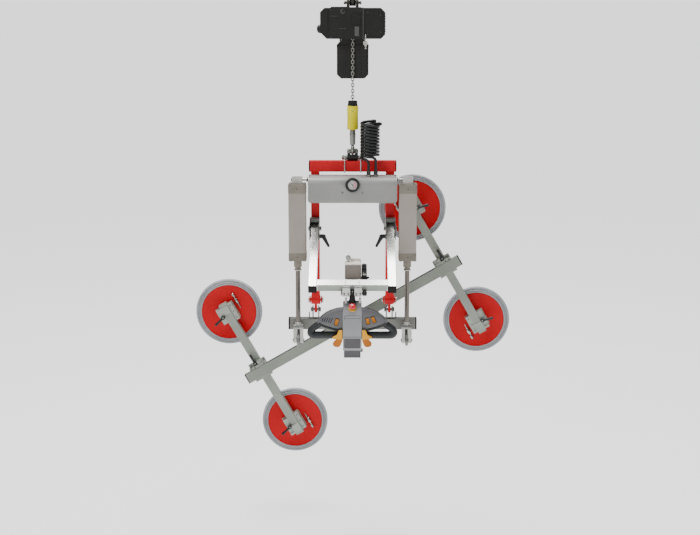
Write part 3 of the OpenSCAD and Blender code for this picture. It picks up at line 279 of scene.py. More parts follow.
# Cylinder profile: warm grey anodising, drawn along the tube; its caps are die cast and darker.
BARREL_ALUMINIUM = Finish("champagne_anodised_profile", "#989189", "#8a837b", metallic=0.3,
                          roughness=0.46, relief=0.02, texture=Texture.BRUSHED, along=Z,
                          cloud=240.0)
HEAD_ALUMINIUM = Finish("die_cast_aluminium_cap", "#7a7469", "#6b665c", metallic=0.3, grain=2.0,
                        relief=0.08, texture=Texture.CAST, cloud=50.0)
HANGER_ALUMINIUM = Finish("bright_cast_hanger", "#b9b8b3", "#a5a49f", metallic=0.5, roughness=0.4,
                          grain=2.0, cloud=40.0)
BRACKET_STEEL = Finish("cast_bracket_metal", "#6e6f6b", "#595a56", metallic=0.55, roughness=0.42,
                       grain=2.5, relief=0.1, texture=Texture.CAST, cloud=40.0)
HUB_METAL = Finish("machined_hub_metal", "#6c6d6b", "#5b5c5a", metallic=0.5, roughness=0.42,
                   grain=2.5, relief=0.04, cloud=60.0)
# Yellow vulcanised sleeve, dull with a slight bloom; buffers, caps and seals are plain rubber.
YELLOW_RUBBER = Finish("yellow_rubber", "#d6cb04", "#c0b504", roughness=0.55, relief=0.06,
                       cloud=40.0, specular=0.2)
BLACK_RUBBER = Finish("black_rubber", "#151515", "#202020", roughness=0.62, grain=2.0, relief=0.1,
                      cloud=30.0, specular=0.25)
SEAL_RUBBER = Finish("grey_seal_rubber", "#989b9f", "#85888c", roughness=0.58, relief=0.06,
                     cloud=70.0)
# Painted shade: the same grey seal rubber drawn darker in the channel between the seal's lips.
SEAL_CHANNEL_SHADE = Finish("grey_seal_rubber_painted_channel_shade", "#7d8083", "#6e7174", roughness=0.66,
                      relief=0.06, cloud=70.0)
PAD_RED = Finish("red_pad_lacquer", "#c00613", "#aa0510", roughness=0.34, spread=0.05, grain=5.0,
                 relief=0.03, cloud=160.0, specular=0.12)
# Polyurethane hose: smooth, glossy and almost black.
HOSE_BLACK = Finish("black_polyurethane_hose", "#151616", "#1e1f1f", roughness=0.42, relief=0.02,
                    cloud=40.0, specular=0.3)
NICKEL = Finish("nickel_plated_brass", "#b0aea6", "#97958d", metallic=1.0, roughness=0.22,
                spread=0.05, grain=2.0, relief=0.01, cloud=30.0)
BLACK_PLASTIC = Finish("black_nylon", "#171818", "#222323", roughness=0.42, grain=1.8, relief=0.08,
                       texture=Texture.CAST, cloud=40.0, specular=0.3)
VALVE_BROWN = Finish("taupe_valve_enamel", "#7b7169", "#6c635b", roughness=0.4, cloud=70.0)
VALVE_LID = Finish("pale_valve_enamel", "#dcd5cd", "#cbc4bc", roughness=0.4)
# ABS mouldings of the handle: eroded tool finish of about 1 mm, drawn at 2 mm to show.
SPINE_GREY = Finish("light_grey_abs", "#8e8f91", "#838486", roughness=0.4, grain=2.0, relief=0.06,
                    cloud=120.0)
# Painted shade: the same grey ABS drawn darker where shade falls, on the handle's lower box and
# knob, the lower panel, the crease and the gaps round the upper panels.
SPINE_PAINTED_SHADE = Finish("grey_abs_painted_shade", "#434245", "#3a393c", roughness=0.44, grain=2.0, relief=0.06,
                    cloud=120.0)
WING_GREY = Finish("dark_grey_abs", "#5c5c5f", "#4f4f52", roughness=0.42, grain=2.0, relief=0.08,
                   texture=Texture.CAST, cloud=120.0)
GRIP_RUBBER = Finish("soft_grip_rubber", "#1e2122", "#2a2d2e", roughness=0.48, grain=2.4,
                     relief=0.12, texture=Texture.CAST, cloud=60.0, specular=0.35)
STOP_RED = Finish("red_button_polycarbonate", "#d21f2e", "#bc1a28", roughness=0.22, grain=4.0,
                  relief=0.01, coat=0.4)
STOP_YELLOW = Finish("yellow_collar_polycarbonate", "#d8ac1c", "#c49a18", roughness=0.3, grain=4.0,
                     relief=0.02)
AMBER = Finish("amber_switch_nylon", "#b8700a", "#a46206", roughness=0.32, grain=2.5, relief=0.03,
               specular=0.3)
TRIGGER_YELLOW = Finish("yellow_trigger_nylon", "#e0a015", "#cf9110", roughness=0.34, grain=2.5,
                        relief=0.04, cloud=50.0, specular=0.3)
TRIGGER_AMBER = Finish("amber_trigger_nylon", "#b9680a", "#a45b08", roughness=0.34, grain=2.5,
                       relief=0.04, cloud=50.0, specular=0.3)
# Soft vinyl caps in the tubes' ends: matt and nearly black.
CAP_BLACK = Finish("matt_vinyl_end_cap", "#0e0e0e", "#141414", roughness=0.6, grain=2.0, cloud=40.0,
                   specular=0.15)
GAUGE_BLACK = Finish("black_gauge_enamel", "#141414", "#1c1c1b", roughness=0.38, specular=0.3)
DIAL_WHITE = Finish("white_dial_print", "#b4b4b0", "#a8a8a4", relief=0.0)
DIAL_RED = Finish("red_dial_print", "#d63a55", "#c8324c", relief=0.0)
WINDOW = Finish("clear_acrylic_window", "#f4f6f6", "#eef0f0", roughness=0.05, spread=0.02,
                relief=0.0, see_through=0.14)
SOCKET_DARK = Finish("oiled_black_steel", "#191919", "#232322", metallic=0.4, roughness=0.4)


@dataclass(frozen=True)
class Frame:
    """A place in the object: a turned and shifted frame, in millimetres.

    Attributes:
        origin: Origin of the frame.
        columns: Directions of its X, Y and Z axes, one after another.
    """

    origin: tuple[float, float, float] = (0.0, 0.0, 0.0)
    columns: tuple[tuple[float, float, float], ...] = ((1, 0, 0), (0, 1, 0), (0, 0, 1))

    def place(self, points: Array) -> Array:
        """Return the points in the object's frame: origin plus each coordinate times its axis."""
        return np.asarray(points, dtype=float) @ np.array(self.columns, dtype=float) \
            + np.array(self.origin, dtype=float)

    def inside(self, origin: Point, mirrored: bool = False) -> "Frame":
        """Return a frame at a point of this one, with its X axis reversed where mirrored."""
        axes = np.array(self.columns, dtype=float)
        shifted = self.place(np.array([origin]))[0]
        if mirrored:
            axes[0] = -axes[0]
        return Frame(tuple(shifted), tuple(map(tuple, axes)))


def turned_frame(axis: Axis, degrees: float, origin: Point) -> Frame:
    """Make a frame turned about one axis of the object.

    Args:
        axis: Axis of the turn.
        degrees: Turn by the right-hand rule.
        origin: Origin of the new frame.

    Returns:
        The frame.
    """
    c, s = math.cos(math.radians(degrees)), math.sin(math.radians(degrees))
    rows = {X: [(1, 0, 0), (0, c, s), (0, -s, c)],
            Y: [(c, 0, -s), (0, 1, 0), (s, 0, c)],
            Z: [(c, s, 0), (-s, c, 0), (0, 0, 1)]}[axis]
    return Frame(tuple(float(v) for v in origin), tuple(map(tuple, rows)))


WORLD = Frame()


def polar(centre: Point, radius: float | Array, angles: Array) -> Array:
    """Points at centre plus radius times (cosine, sine) of each angle."""
    return np.column_stack([centre[0] + radius * np.cos(angles),
                            centre[1] + radius * np.sin(angles)])


def arc(centre: Point, radius: float, start: float, end: float, count: int = 12) -> Array:
    """Evenly spaced points on an arc between two angles in degrees."""
    return polar(centre, radius, np.radians(np.linspace(start, end, count)))


def full_turn(count: int) -> Array:
    """Evenly spaced angles of a full turn, the last one short of the first."""
    return np.linspace(0, 2 * math.pi, count, endpoint=False)


def ring(radius: float, count: int = 32, centre: Point = (0.0, 0.0)) -> Array:
    """Points on a full circle."""
    return polar(centre, radius, full_turn(count))


def gear_ring(outer: float, inner: float, teeth: int, centre: Point = (0.0, 0.0)) -> Array:
    """A ring whose radius steps between two values, as knurling or grip ribs do."""
    radius = np.where((np.arange(4 * teeth) % 4) < 2, outer, inner)
    return polar(centre, radius, full_turn(4 * teeth))


def cut_rectangle(low: Point, high: Point, cut: float) -> Array:
    """A rectangle with its four corners cut off at 45 degrees."""
    (x0, y0), (x1, y1) = low, high
    return np.array([(x0 + cut, y0), (x1 - cut, y0), (x1, y0 + cut), (x1, y1 - cut), (x1 - cut, y1),
                     (x0 + cut, y1), (x0, y1 - cut), (x0, y0 + cut)])


def round_rectangle(low: Point, high: Point, radius: float, steps: int = 5) -> Array:
    """A rectangle whose corners are quarter circles."""
    x0, y0, x1, y1 = low[0] + radius, low[1] + radius, high[0] - radius, high[1] - radius
    corners = ((x1, y1), (x0, y1), (x0, y0), (x1, y0))
    return np.vstack([arc(corner, radius, 90 * i, 90 * i + 90, steps)
                      for i, corner in enumerate(corners)])


def through(points: Array, count: int) -> Array:
    """A smooth path through given points, by Catmull-Rom cubics evaluated as one array.

    Args:
        points: Points that the path passes, shape (n, 2) or (n, 3).
        count: Number of steps between two neighbouring points.

    Returns:
        Points of the smooth path.
    """
    p = np.asarray(points, dtype=float)
    p = np.vstack([2 * p[0] - p[1], p, 2 * p[-1] - p[-2]])
    t = np.linspace(0, 1, count, endpoint=False)[None, :, None]
    a, b, c, d = (p[i:len(p) - 3 + i, None, :] for i in range(4))
    path = 0.5 * (2 * b + (c - a) * t + (2 * a - 5 * b + 4 * c - d) * t ** 2
                  + (3 * b - a - 3 * c + d) * t ** 3)
    return np.vstack([path.reshape(-1, p.shape[1]), p[-2]])


def rings_along(path: Array, radii: float | Array, sides: int) -> Array:
    """Circles carried along a path without twist.

    Each circle is square to the path; its side direction is the last one made square again.

    Args:
        path: Middle line, shape (m, 3).
        radii: One radius, or one for each point.
        sides: Points on each circle.

    Returns:
        Rings, shape (m, sides, 3).
    """
    heading = np.gradient(path, axis=0)
    heading /= np.linalg.norm(heading, axis=1)[:, None]
    side = np.cross(heading[0], (0.3, 0.5, 0.81))
    carried = []
    for direction in heading:
        side = side - np.dot(side, direction) * direction
        side /= np.linalg.norm(side)
        carried.append(side)
    across = np.array(carried)
    up = np.cross(heading, across)
    angles = full_turn(sides)[None, :, None]
    radius = np.broadcast_to(np.asarray(radii, dtype=float), (len(path),))[:, None, None]
    return path[:, None, :] + radius * (np.cos(angles) * across[:, None, :]
                                        + np.sin(angles) * up[:, None, :])


def spanned(a: Array, b: Array, c: Array) -> float:
    """Six times the volume between the origin and the triangles abc: the sum of a . (b x c)."""
    return float((a * np.cross(b, c)).sum())


@dataclass
class Form:
    """One piece, made of closed skins in a frame, each skin with its own finish.

    Attributes:
        name: Name of the piece.
        place: Frame that its millimetres are given in.
        both_sides: Whether each skin is repeated on the other side of the middle plane.
    """

    name: str
    place: Frame = WORLD
    both_sides: bool = False
    points: list[Array] = field(default_factory=list)
    faces: list[tuple[int, ...]] = field(default_factory=list)
    paints: list[int] = field(default_factory=list)
    finishes: list[Finish] = field(default_factory=list)

    def skin(self, rings: Array, finish: Finish, loop: bool = False,
             place: Frame | None = None) -> "Form":
        """Join rings of points into one closed skin.

        Neighbouring rings are joined by four-sided faces. The first and last rings are closed
        by a face of their own, or joined to each other where the rings form a loop. The volume
        by the divergence theorem says which way the faces have to point.

        Args:
            rings: Points, shape (rings, points on a ring, 3).
            finish: Finish of this skin.
            loop: Whether the last ring joins the first.
            place: Frame of this skin alone, instead of the piece's own.

        Returns:
            This form, so that calls can be chained.
        """
        rings = np.asarray(rings, dtype=float)
        rows, sides = rings.shape[:2]
        spots = (place or self.place).place(rings.reshape(-1, 3))
        index = np.arange(rows * sides).reshape(rows, sides)
        follow = np.roll(index, -1, axis=0) if loop else index[1:]
        lead = index if loop else index[:-1]
        quads = np.stack([lead, np.roll(lead, -1, axis=1), np.roll(follow, -1, axis=1), follow],
                         axis=-1).reshape(-1, 4)
        faces = [tuple(q) for q in quads.tolist()]
        if not loop:
            faces += [tuple(index[0, ::-1].tolist()), tuple(index[-1].tolist())]
        centre = spots.mean(axis=0)
        local = spots - centre
        a, b, c, d = (local[quads[:, i]] for i in range(4))
        volume = spanned(a, b, c) + spanned(a, c, d)
        if not loop:
            for cap in faces[-2:]:
                corner = local[list(cap)]
                volume += spanned(corner[0], corner[1:-1], corner[2:])
        self.keep(spots, faces, finish, volume < 0)
        if self.both_sides:
            self.keep(spots * (-1.0, 1.0, 1.0), faces, finish, volume > 0)
        return self

    def keep(self, spots: Array, faces: list[tuple[int, ...]], finish: Finish, flip: bool) -> None:
        """Store a skin's points and faces, turned over where its volume came out negative."""
        base = sum(len(p) for p in self.points)
        if finish not in self.finishes:
            self.finishes.append(finish)
        paint = self.finishes.index(finish)
        self.points.append(spots)
        self.faces += [tuple(base + i for i in (face[::-1] if flip else face)) for face in faces]
        self.paints += [paint] * len(faces)

    def prism(self, outline: Array, axis: Axis, low: float, high: float, finish: Finish,
              place: Frame | None = None) -> "Form":
        """Draw an outline, as (Y, Z) for X, (X, Z) for Y or (X, Y) for Z, out along an axis."""
        flat = np.asarray(outline, dtype=float)
        rings = [np.insert(flat, axis.value, value, axis=1) for value in (low, high)]
        return self.skin(np.array(rings), finish, place=place)

    def block(self, low: Point, high: Point, finish: Finish, place: Frame | None = None) -> "Form":
        """A block between its lowest and highest corners."""
        outline = [(low[0], low[2]), (high[0], low[2]), (high[0], high[2]), (low[0], high[2])]
        return self.prism(np.array(outline), Y, low[1], high[1], finish, place)

    def turned(self, foot: Point, axis: Axis, profile: Iterable[Point], finish: Finish,
               sides: int = 40, loop: bool = False, place: Frame | None = None) -> "Form":
        """A lathed skin: each (radius, distance along the axis) of the profile is one circle.

        Args:
            foot: Point that the distances are counted from.
            axis: Axis of the lathe; a negative distance goes the other way.
            profile: Pairs of radius and distance.
            finish: Finish of the skin.
            sides: Points on each circle.
            loop: Whether the profile closes on itself, as a ring's section does.
            place: Frame of this skin alone.

        Returns:
            This form.
        """
        flat = np.array([ring(max(r, TIP_RADIUS), sides) for r, _ in profile])
        along = np.array([d for _, d in profile], dtype=float)
        rings = np.insert(flat, axis.value, np.broadcast_to(along[:, None], flat.shape[:2]), axis=2)
        return self.skin(rings + np.array(foot, dtype=float), finish, loop, place)

    def rod(self, axis: Axis, start: float, end: float, across: Point, radius: float,
            finish: Finish, sides: int = 28, place: Frame | None = None) -> "Form":
        """A cylinder along an axis; across gives its other two coordinates."""
        return self.prism(ring(radius, sides, across), axis, start, end, finish, place)

    def hexagon(self, axis: Axis, start: float, end: float, across: Point, radius: float,
                finish: Finish = DARK_ZINC, place: Frame | None = None) -> "Form":
        """A bolt head or nut with six flats."""
        return self.prism(ring(radius, 6, across), axis, start, end, finish, place)

    def tube(self, path: Array, radii: float | Array, finish: Finish, sides: int = 20,
             place: Frame | None = None) -> "Form":
        """A round tube along a path."""
        return self.skin(rings_along(np.asarray(path, dtype=float), radii, sides), finish,
                         place=place)

    def socket_screw(self, axis: Axis, seat: float, proud: float, across: Point, radius: float,
                     place: Frame | None = None) -> "Form":
        """A cap screw with the dark six-sided socket in its head; proud may be negative."""
        self.rod(axis, seat, seat + proud, across, radius, DARK_ZINC, 20, place)
        step = math.copysign(0.25, proud)
        return self.hexagon(axis, seat + proud - step, seat + proud + step, across, 0.5 * radius,
                            SOCKET_DARK, place)

    def build(self, body: str, slot: str, replaced: Sequence[str] = (), bevel: float = 0.6,
              segments: int = 2) -> bpy.types.Object:
        """Make the mesh object, dress it and hand it to the frame.

        Args:
            body: Body that the piece moves with.
            slot: Material slot of the record that its finish belongs to; not used.
            replaced: Plain nodes that it stands for.
            bevel: Width of the rounded edges, in millimetres; 0 leaves edges sharp.
            segments: Steps in each rounded edge.

        Returns:
            The new object.
        """
        mesh = bpy.data.meshes.new(self.name)
        mesh.from_pydata((np.vstack(self.points) * MM).tolist(), [], self.faces)
        for finish in self.finishes:
            mesh.materials.append(finish.material())
        mesh.polygons.foreach_set("material_index", self.paints)
        mesh.validate()
        mesh.shade_smooth()
        piece = add_object(self.name, mesh)
        if bevel > 0:
            edge_round(piece, bevel, segments)
        else:
            mesh.set_sharp_from_angle(angle=SHARP_ANGLE)
        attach(piece, body)
        if replaced:
            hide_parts(*replaced)
        LOG.info("%s: %d faces on %s", self.name, len(self.faces), body)
        return piece


def edge_round(piece: bpy.types.Object, width: float, segments: int = 2) -> None:
    """Give a piece rounded edges wherever two faces meet at more than ROUND_ANGLE."""
    bevel = piece.modifiers.new("edges", "BEVEL")
    bevel.width = width * MM
    bevel.segments = segments
    bevel.limit_method = "ANGLE"
    bevel.angle_limit = ROUND_ANGLE
    bevel.harden_normals = True


def dress(node: str, finish: Finish, bevel: float = 0.8) -> None:
    """Give a plain solid that has the right shape its finish and rounded edges.

    Args:
        node: Name of the solid.
        finish: Finish of the whole solid.
        bevel: Width of the rounded edges, in millimetres; 0 leaves them.
    """
    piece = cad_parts[node]
    for place in piece.material_slots:
        place.material = finish.material()
    if bevel > 0:
        weld = piece.modifiers.new("weld", "WELD")
        weld.merge_threshold = WELD_GAP
        edge_round(piece, bevel)
    LOG.info("%s: plain solid in %s", node, finish.name)


@dataclass
class Hoist:
    """Electric chain hoist with its casings, chain store and crane eye."""

    half_width: float = 134.0
    top: float = -58.0
    bottom: float = -183.0
    flange: float = 41.0
    front: float = -80.0
    container_top: float = -193.0
    container_low: float = -350.0

    def casing(self) -> None:
        """Build the middle and left casings, the gear cover, the flange and the small details."""
        low, high, w = self.bottom, self.top, self.half_width
        form = Form("hoist_casing")
        left = [(-w + 27, low), (self.flange, low), (self.flange, high), (-w + 17, high),
                (-w, high - 17), (-w, low + 27)]
        form.prism(left, Y, -74, 80, HOIST_PAINT)
        form.prism(cut_rectangle((-96, low), (self.flange, high + 3), 6), Y, self.front, 80,
                   HOIST_PAINT)
        form.block((self.flange, -77, low), (self.flange + 4, 80, high + 3), FLANGE_METAL)
        right = [(45.2, low), (w - 17, low), (w, low + 17), (w, high - 17), (w - 17, high),
                 (45.2, high)]
        form.prism(right, Y, -74, 76, HOIST_PAINT)
        panel = [(54, low + 11), (w - 20, low + 11), (w - 10, low + 21), (w - 10, high - 21),
                 (w - 20, high - 11), (54, high - 11)]
        form.prism(panel, Y, -76, -74, HOIST_PAINT)
        form.prism(cut_rectangle((-w + 8, low + 24), (-103, high - 20), 6), Y, -75.6, -74,
                   HOIST_PAINT)
        for x0, x1, z in ((-2, 38, -91), (-56, -26, -141), (-88, -62, -91)):
            form.block((x0, self.front - 2, z - 2.5), (x1, self.front + 1, z + 2.5), HOIST_FACE)
        form.block((8, self.front - 1.4, low + 12), (26, self.front + 1, low + 51), FLANGE_METAL)
        form.block((-4, self.front - 4, high - 66), (32, self.front + 1, high - 24), HOIST_PAINT)
        form.turned((-41, self.front, -72), Y, [(11, 1), (11, -2.4), (9.5, -3.6), (0.3, -3.6)],
                    HOIST_FACE, 28)
        form.hexagon(Y, self.front - 4.0, self.front - 3.4, (-41, -72), 4.5, SOCKET_DARK)
        cover = ((62, low + 18), (62, high - 18), (w - 18, low + 28), (w - 18, high - 28))
        middle = ((-88, low + 10), (30, low + 10), (-88, high - 8), (30, high - 8))
        for spots, face, r, proud in ((cover, -76, 4.2, 2.2), (middle, self.front, 3.6, 2.0)):
            head = [(r, 0.5), (r, 0.6 - proud), (r - 0.8, -proud), (0.3, -proud)]
            for x, z in spots:
                form.turned((x, face, z), Y, head, SOCKET_DARK, 20)
        for row in range(8):
            z = low + 26 + row * 10.5
            form.block((w - 1, -56, z), (w + 3, 58, z + 4), HOIST_PAINT)
            form.block((-w - 2.6, 24, z), (-w + 1, 66, z + 4), HOIST_PAINT)
        for row in range(9):
            y = -64 + row * 15
            form.block((-90, y, high + 2), (-22, y + 5, high + 5), HOIST_PAINT)
        form.turned((-w, 0, -144), X,
                    [(18, 6), (18, -4), (16.5, -9), (13, -12.6), (7.5, -15), (0.3, -15.8)],
                    HOIST_PAINT, 32)
        form.build("hoist", "hoist_black", ["hoist_housing"], bevel=1.6)
        plug = Form("hoist_plug")
        plug.rod(Z, -193, -164, (53, -80), 2.6, NICKEL)
        plug.hexagon(Z, -207, -192, (53, -80), 9, NICKEL)
        plug.turned((53, -80, -207), Z,
                    [(4.4, 1), (4.4, -4), (3.2, -6), (4.0, -8), (4.0, -15), (0.5, -18)], NICKEL, 24)
        plug.block((47, -80, -178), (59, -73, -166), BLACK_POWDER)
        plug.build("hoist", "lug_steel", bevel=0.4)

    def chain_store(self) -> None:
        """Build the tub under the hoist: cut corners, a rim, and two shallow ribs on each face."""
        form = Form("chain_store")
        shell = cut_rectangle((-66.5, self.container_low), (66.5, self.container_top), 17)
        form.prism(shell, Y, 18, 110, TUB_PLASTIC)
        inner = cut_rectangle((-58, self.container_low + 8), (58, self.container_top - 16), 14)
        form.prism(inner, Y, 16, 112, TUB_PLASTIC)
        form.block((-67.5, 15.5, -220), (67.5, 112.5, -213), TUB_PLASTIC)
        form.block((-56, 17, -195), (56, 111, self.bottom), TUB_PLASTIC)
        for x in (-34, 34):
            form.block((x - 3, 14.6, -338), (x + 3, 113.4, -214), TUB_PLASTIC)
        for x in (-48, 48):
            form.socket_screw(Y, 17, -2.0, (x, -189), 3.2)
        form.build("hoist", "container_plastic", ["chain_container"], bevel=2.2)

    def build(self) -> None:
        """Build the hoist."""
        self.casing()
        self.chain_store()
        dress("suspension_lugs", SHOT_STEEL, 1.0)
        eye = Form("crane_eye_fittings")
        for side in (-1, 1):
            eye.hexagon(X, side * 33, side * 37, (0, -36), 8.5)
            eye.rod(X, side * 30.8, side * 33, (0, -36), 9.5, DARK_ZINC)
        eye.turned((0, 0, -18), Z, [(13.4, -6), (14.6, -4.5), (14.6, 1.5), (13.4, 3)], SHOT_STEEL,
                   32)
        eye.build("hoist", "lug_steel", bevel=0.6)


@dataclass
class Suspension:
    """Load chain, gripping sleeve, swivel hook and the block that hangs on it."""

    sleeve_top: float = -462.0
    sleeve_low: float = -563.0
    radius: float = 23.5
    hang_z: float = -681.0

    def sleeve(self) -> None:
        """Build the yellow sleeve with its black buffer, as rings round the chain's bore."""
        form = Form("grip_sleeve")
        top, low, r = self.sleeve_top, self.sleeve_low, self.radius
        bend = arc((r - 5, low + 5), 5, -90, 0, 6)
        outer = [(8, low + 0.4), (r - 7, low), *bend, (r, low + 20), (r - 0.5, -512), (r, -484),
                 (r, top - 4), (r - 1.2, top - 0.6), (8, top)]
        form.turned((0, 0, 0), Z, outer, YELLOW_RUBBER, 48, loop=True)
        form.rod(Y, -r - 0.3, r + 0.3, (0, -484), 2.6, DARK_ZINC, 16)
        ribs = [(8, -461.8), (20.8, -461.8), (20.9, -457.5), (19.9, -456.8), (20.5, -456),
                (20.3, -451.5), (19.4, -450.8), (19.9, -450), (19.6, -444.5), (18.3, -441.2),
                (8, -441)]
        form.turned((0, 0, 0), Z, ribs, BLACK_RUBBER, 48, loop=True)
        form.build("lift", "sleeve_yellow", ["hook_sleeve"], bevel=0)

    def block(self) -> None:
        """Build the black block, the bow with its seat for the hook, and the bolt with spacers."""
        z, y = self.hang_z, 13.2
        form = Form("hang_block_and_bow")
        for x0, x1, top in ((-23, -9, -662), (-9, 9, -669.5), (9, 23, -662)):
            outline = [*arc((0, z), y, 180, 360, 20), (y, top), (-y, top)]
            form.prism(outline, X, x0, x1, BLACK_POWDER)
        half = np.array([(19, 0, -661), (19, 0, -656), (18.2, 0, -651), (14.5, 0, -648.4),
                         (9, 0, -648), (0, 0, -648)])
        bow = np.vstack([half * (-1, 1, 1), half[-2::-1]])
        form.tube(through(bow, 4), 5.6, HOOK_STEEL, 20)
        form.turned((0, 0, -657.5), X,
                    [(0.3, -12.6), (3.6, -12.2), (5.6, -9), (6.2, 0), (5.6, 9), (3.6, 12.2),
                     (0.3, 12.6)],
                    HOOK_STEEL, 24)
        for side in (-1, 1):
            x = side * 18
            form.block((x - 6, -9, -661.8), (x + 6, 9, -655.8), HOOK_STEEL)
            form.rod(X, side * 23.4, side * 31.8, (0, z), 10.5, DARK_ZINC)
            form.rod(X, side * 36.3, side * 37.6, (0, z), 12.2, DARK_ZINC)
            form.hexagon(X, side * 37.6, side * 44, (0, z), 10.8)
        form.rod(X, -47, 46, (0, z), 6, DARK_ZINC)
        form.build("hook", "block_black", ["hang_block"], bevel=1.0)

    def build(self) -> None:
        """Build the hanging parts."""
        dress("load_chain", CHAIN_STEEL, 0)
        self.sleeve()
        dress("swivel_hook", HOOK_STEEL, 0.8)
        latch = Form("hook_latch")
        latch.rod(X, -8.5, 8.5, (-9, -627), 2.2, DARK_ZINC, 16)
        latch.rod(Z, -584.5, -579.5, (0, 0), 13.6, DARK_ZINC, 32)
        latch.build("hook", "hook_steel", bevel=0.5)
        self.block()
        dress("hang_plates", ZINC, 0.7)


@dataclass
class Housing:
    """Silver housing in front of the rails with the gauge, fittings and the twin spiral hose."""

    top: float = -752.0
    front: float = -135.0
    gauge_z: float = -780.0
    gauge_radius: float = 30.0
    coil_x: float = 73.0
    coil_y: float = -48.0
    coil_radius: float = 36.0
    coil_pitch: float = 26.2
    coil_low: float = -681.0
    turns: float = 5.5
    bend: float = 18.0
    fitting_top: float = -728.0
    hose_radius: float = 6.0
    starts: tuple[float, ...] = (-125.0, -80.0)
    rises: tuple[float, ...] = (0.0, 9.8)

    def shell(self) -> None:
        """Dress the cover and the plate behind it, and add screws, washers and the side pins."""
        dress("housing_cover", SILVER_ENAMEL, 1.4)
        dress("housing_back", SILVER_ENAMEL, 0.8)
        dress("vacuum_pump", BRACKET_STEEL, 1.2)
        form = Form("housing_screws")
        for x, z in ((-42, -813), (42, -813)):
            form.rod(Y, self.front - 1.2, self.front + 1, (x, z), 5.2, DARK_ZINC, 20)
            form.socket_screw(Y, self.front - 1.0, -1.4, (x, z), 3.2)
        for side in (-1, 1):
            for y, z in ((-36, -772), (-36, -838), (-118, -838)):
                form.rod(X, side * 185.5, side * 187.4, (y, z), 3.6, DARK_ZINC, 16)
            form.rod(X, side * 186, side * 188.5, (-110, -761), 10, BLACK_RUBBER)
        form.build("frame", "housing_silver", bevel=0.3)

    def gauge(self) -> None:
        """Build the gauge: a lathed case, a printed dial with ticks, a window, and the needle."""
        z, f, r = self.gauge_z, self.front, self.gauge_radius
        case = Form("gauge_case_and_dial")
        case.turned((0, f, z), Y, [(18.5, 1), (r - 0.5, 1), (r, 0), (r, -10.5), (r - 1.3, -13.6),
                                   (r - 3.4, -15), (r - 7, -15.2), (r - 10.5, -13.4),
                                   (r - 10.5, -4.8), (18.5, -4.8)],
                    GAUGE_BLACK, 56, loop=True)
        case.turned((0, f, z), Y, [(19.8, -3), (19.8, -5.4), (0.3, -5.4)], DIAL_WHITE, 56)
        case.rod(Y, f + 1, f + 20, (0, z), 24, GAUGE_BLACK, 40)
        band = np.vstack([arc((0, z), 16.6, -80, 66, 24), arc((0, z), 6.5, 66, -80, 24)])
        case.prism(band, Y, f - 5.9, f - 5.2, DIAL_RED)
        for step in range(28):
            long = 4.4 if step % 9 == 0 else 2.4
            tick = turned_frame(Y, 45 - step * 10, (0, 0, z))
            case.block((18.4 - long, f - 5.9, -0.5), (18.4, f - 5.2, 0.5), GAUGE_BLACK, tick)
        case.build("frame", "gauge_black", ["gauge_case"], bevel=0)
        window = Form("gauge_window")
        window.turned((0, f, z), Y, [(19.7, -12.6), (19.7, -13.4), (0.3, -13.8)], WINDOW, 48)
        window.build("frame", "gauge_black", bevel=0)
        needle = Form("gauge_pointer")
        lean = turned_frame(Y, -45, (0, 0, z))
        blade = np.array([(-2.6, -8), (2.6, -8), (2.2, 3), (1.2, 17.5), (-1.2, 17.5), (-2.2, 3)])
        needle.prism(blade, Y, f - 8.6, f - 7.4, GAUGE_BLACK, place=lean)
        needle.turned((0, f, z), Y,
                      [(1.4, 7), (1.4, -7), (3.6, -7.2), (3.6, -9.6), (2.4, -10.6), (0.3, -10.6)],
                      GAUGE_BLACK, 24)
        needle.build("needle", "needle_black", ["gauge_needle"], bevel=0)

    def middle_line(self, start: float, rise: float) -> Array:
        """Middle line of one hose, the same route as the plain solid's.

        Out of its fitting it goes straight up, round a quarter bend of the given radius, and up
        a helix: radius times (cosine, sine) of a falling angle, with the height growing by one
        pitch a turn. It leaves the helix on its tangent.

        Args:
            start: Angle at which the hose joins the helix, in degrees.
            rise: Height of that point over the helix's lowest one.

        Returns:
            Points of the line, shape (n, 3).
        """
        z0 = self.coil_low + rise
        a0 = math.radians(start)
        centre, r = (self.coil_x, self.coil_y), self.coil_radius
        head = np.array([-math.sin(a0), math.cos(a0)])
        at = centre + r * np.array([head[1], -head[0]])
        foot = at + self.bend * head
        rise_up = np.linspace(self.fitting_top, z0 - self.bend - 1.5, 8)
        straight = np.column_stack([np.tile(foot, (8, 1)), rise_up])
        quarter = np.radians(np.linspace(0, 84, 9))
        elbow = np.column_stack([at + self.bend * np.cos(quarter)[:, None] * head,
                                 z0 - self.bend + self.bend * np.sin(quarter)])
        angle = a0 - np.radians(np.arange(0, int(self.turns * 24) + 1) * 15.0)
        coil = np.column_stack([polar(centre, r, angle),
                                z0 + (a0 - angle) / (2 * math.pi) * self.coil_pitch])
        last = angle[-1]
        leave = np.array([math.sin(last), -math.cos(last), 0.03])
        tail = coil[-1] + np.linspace(4, 20, 5)[:, None] * leave
        return np.vstack([straight, elbow, coil, tail])

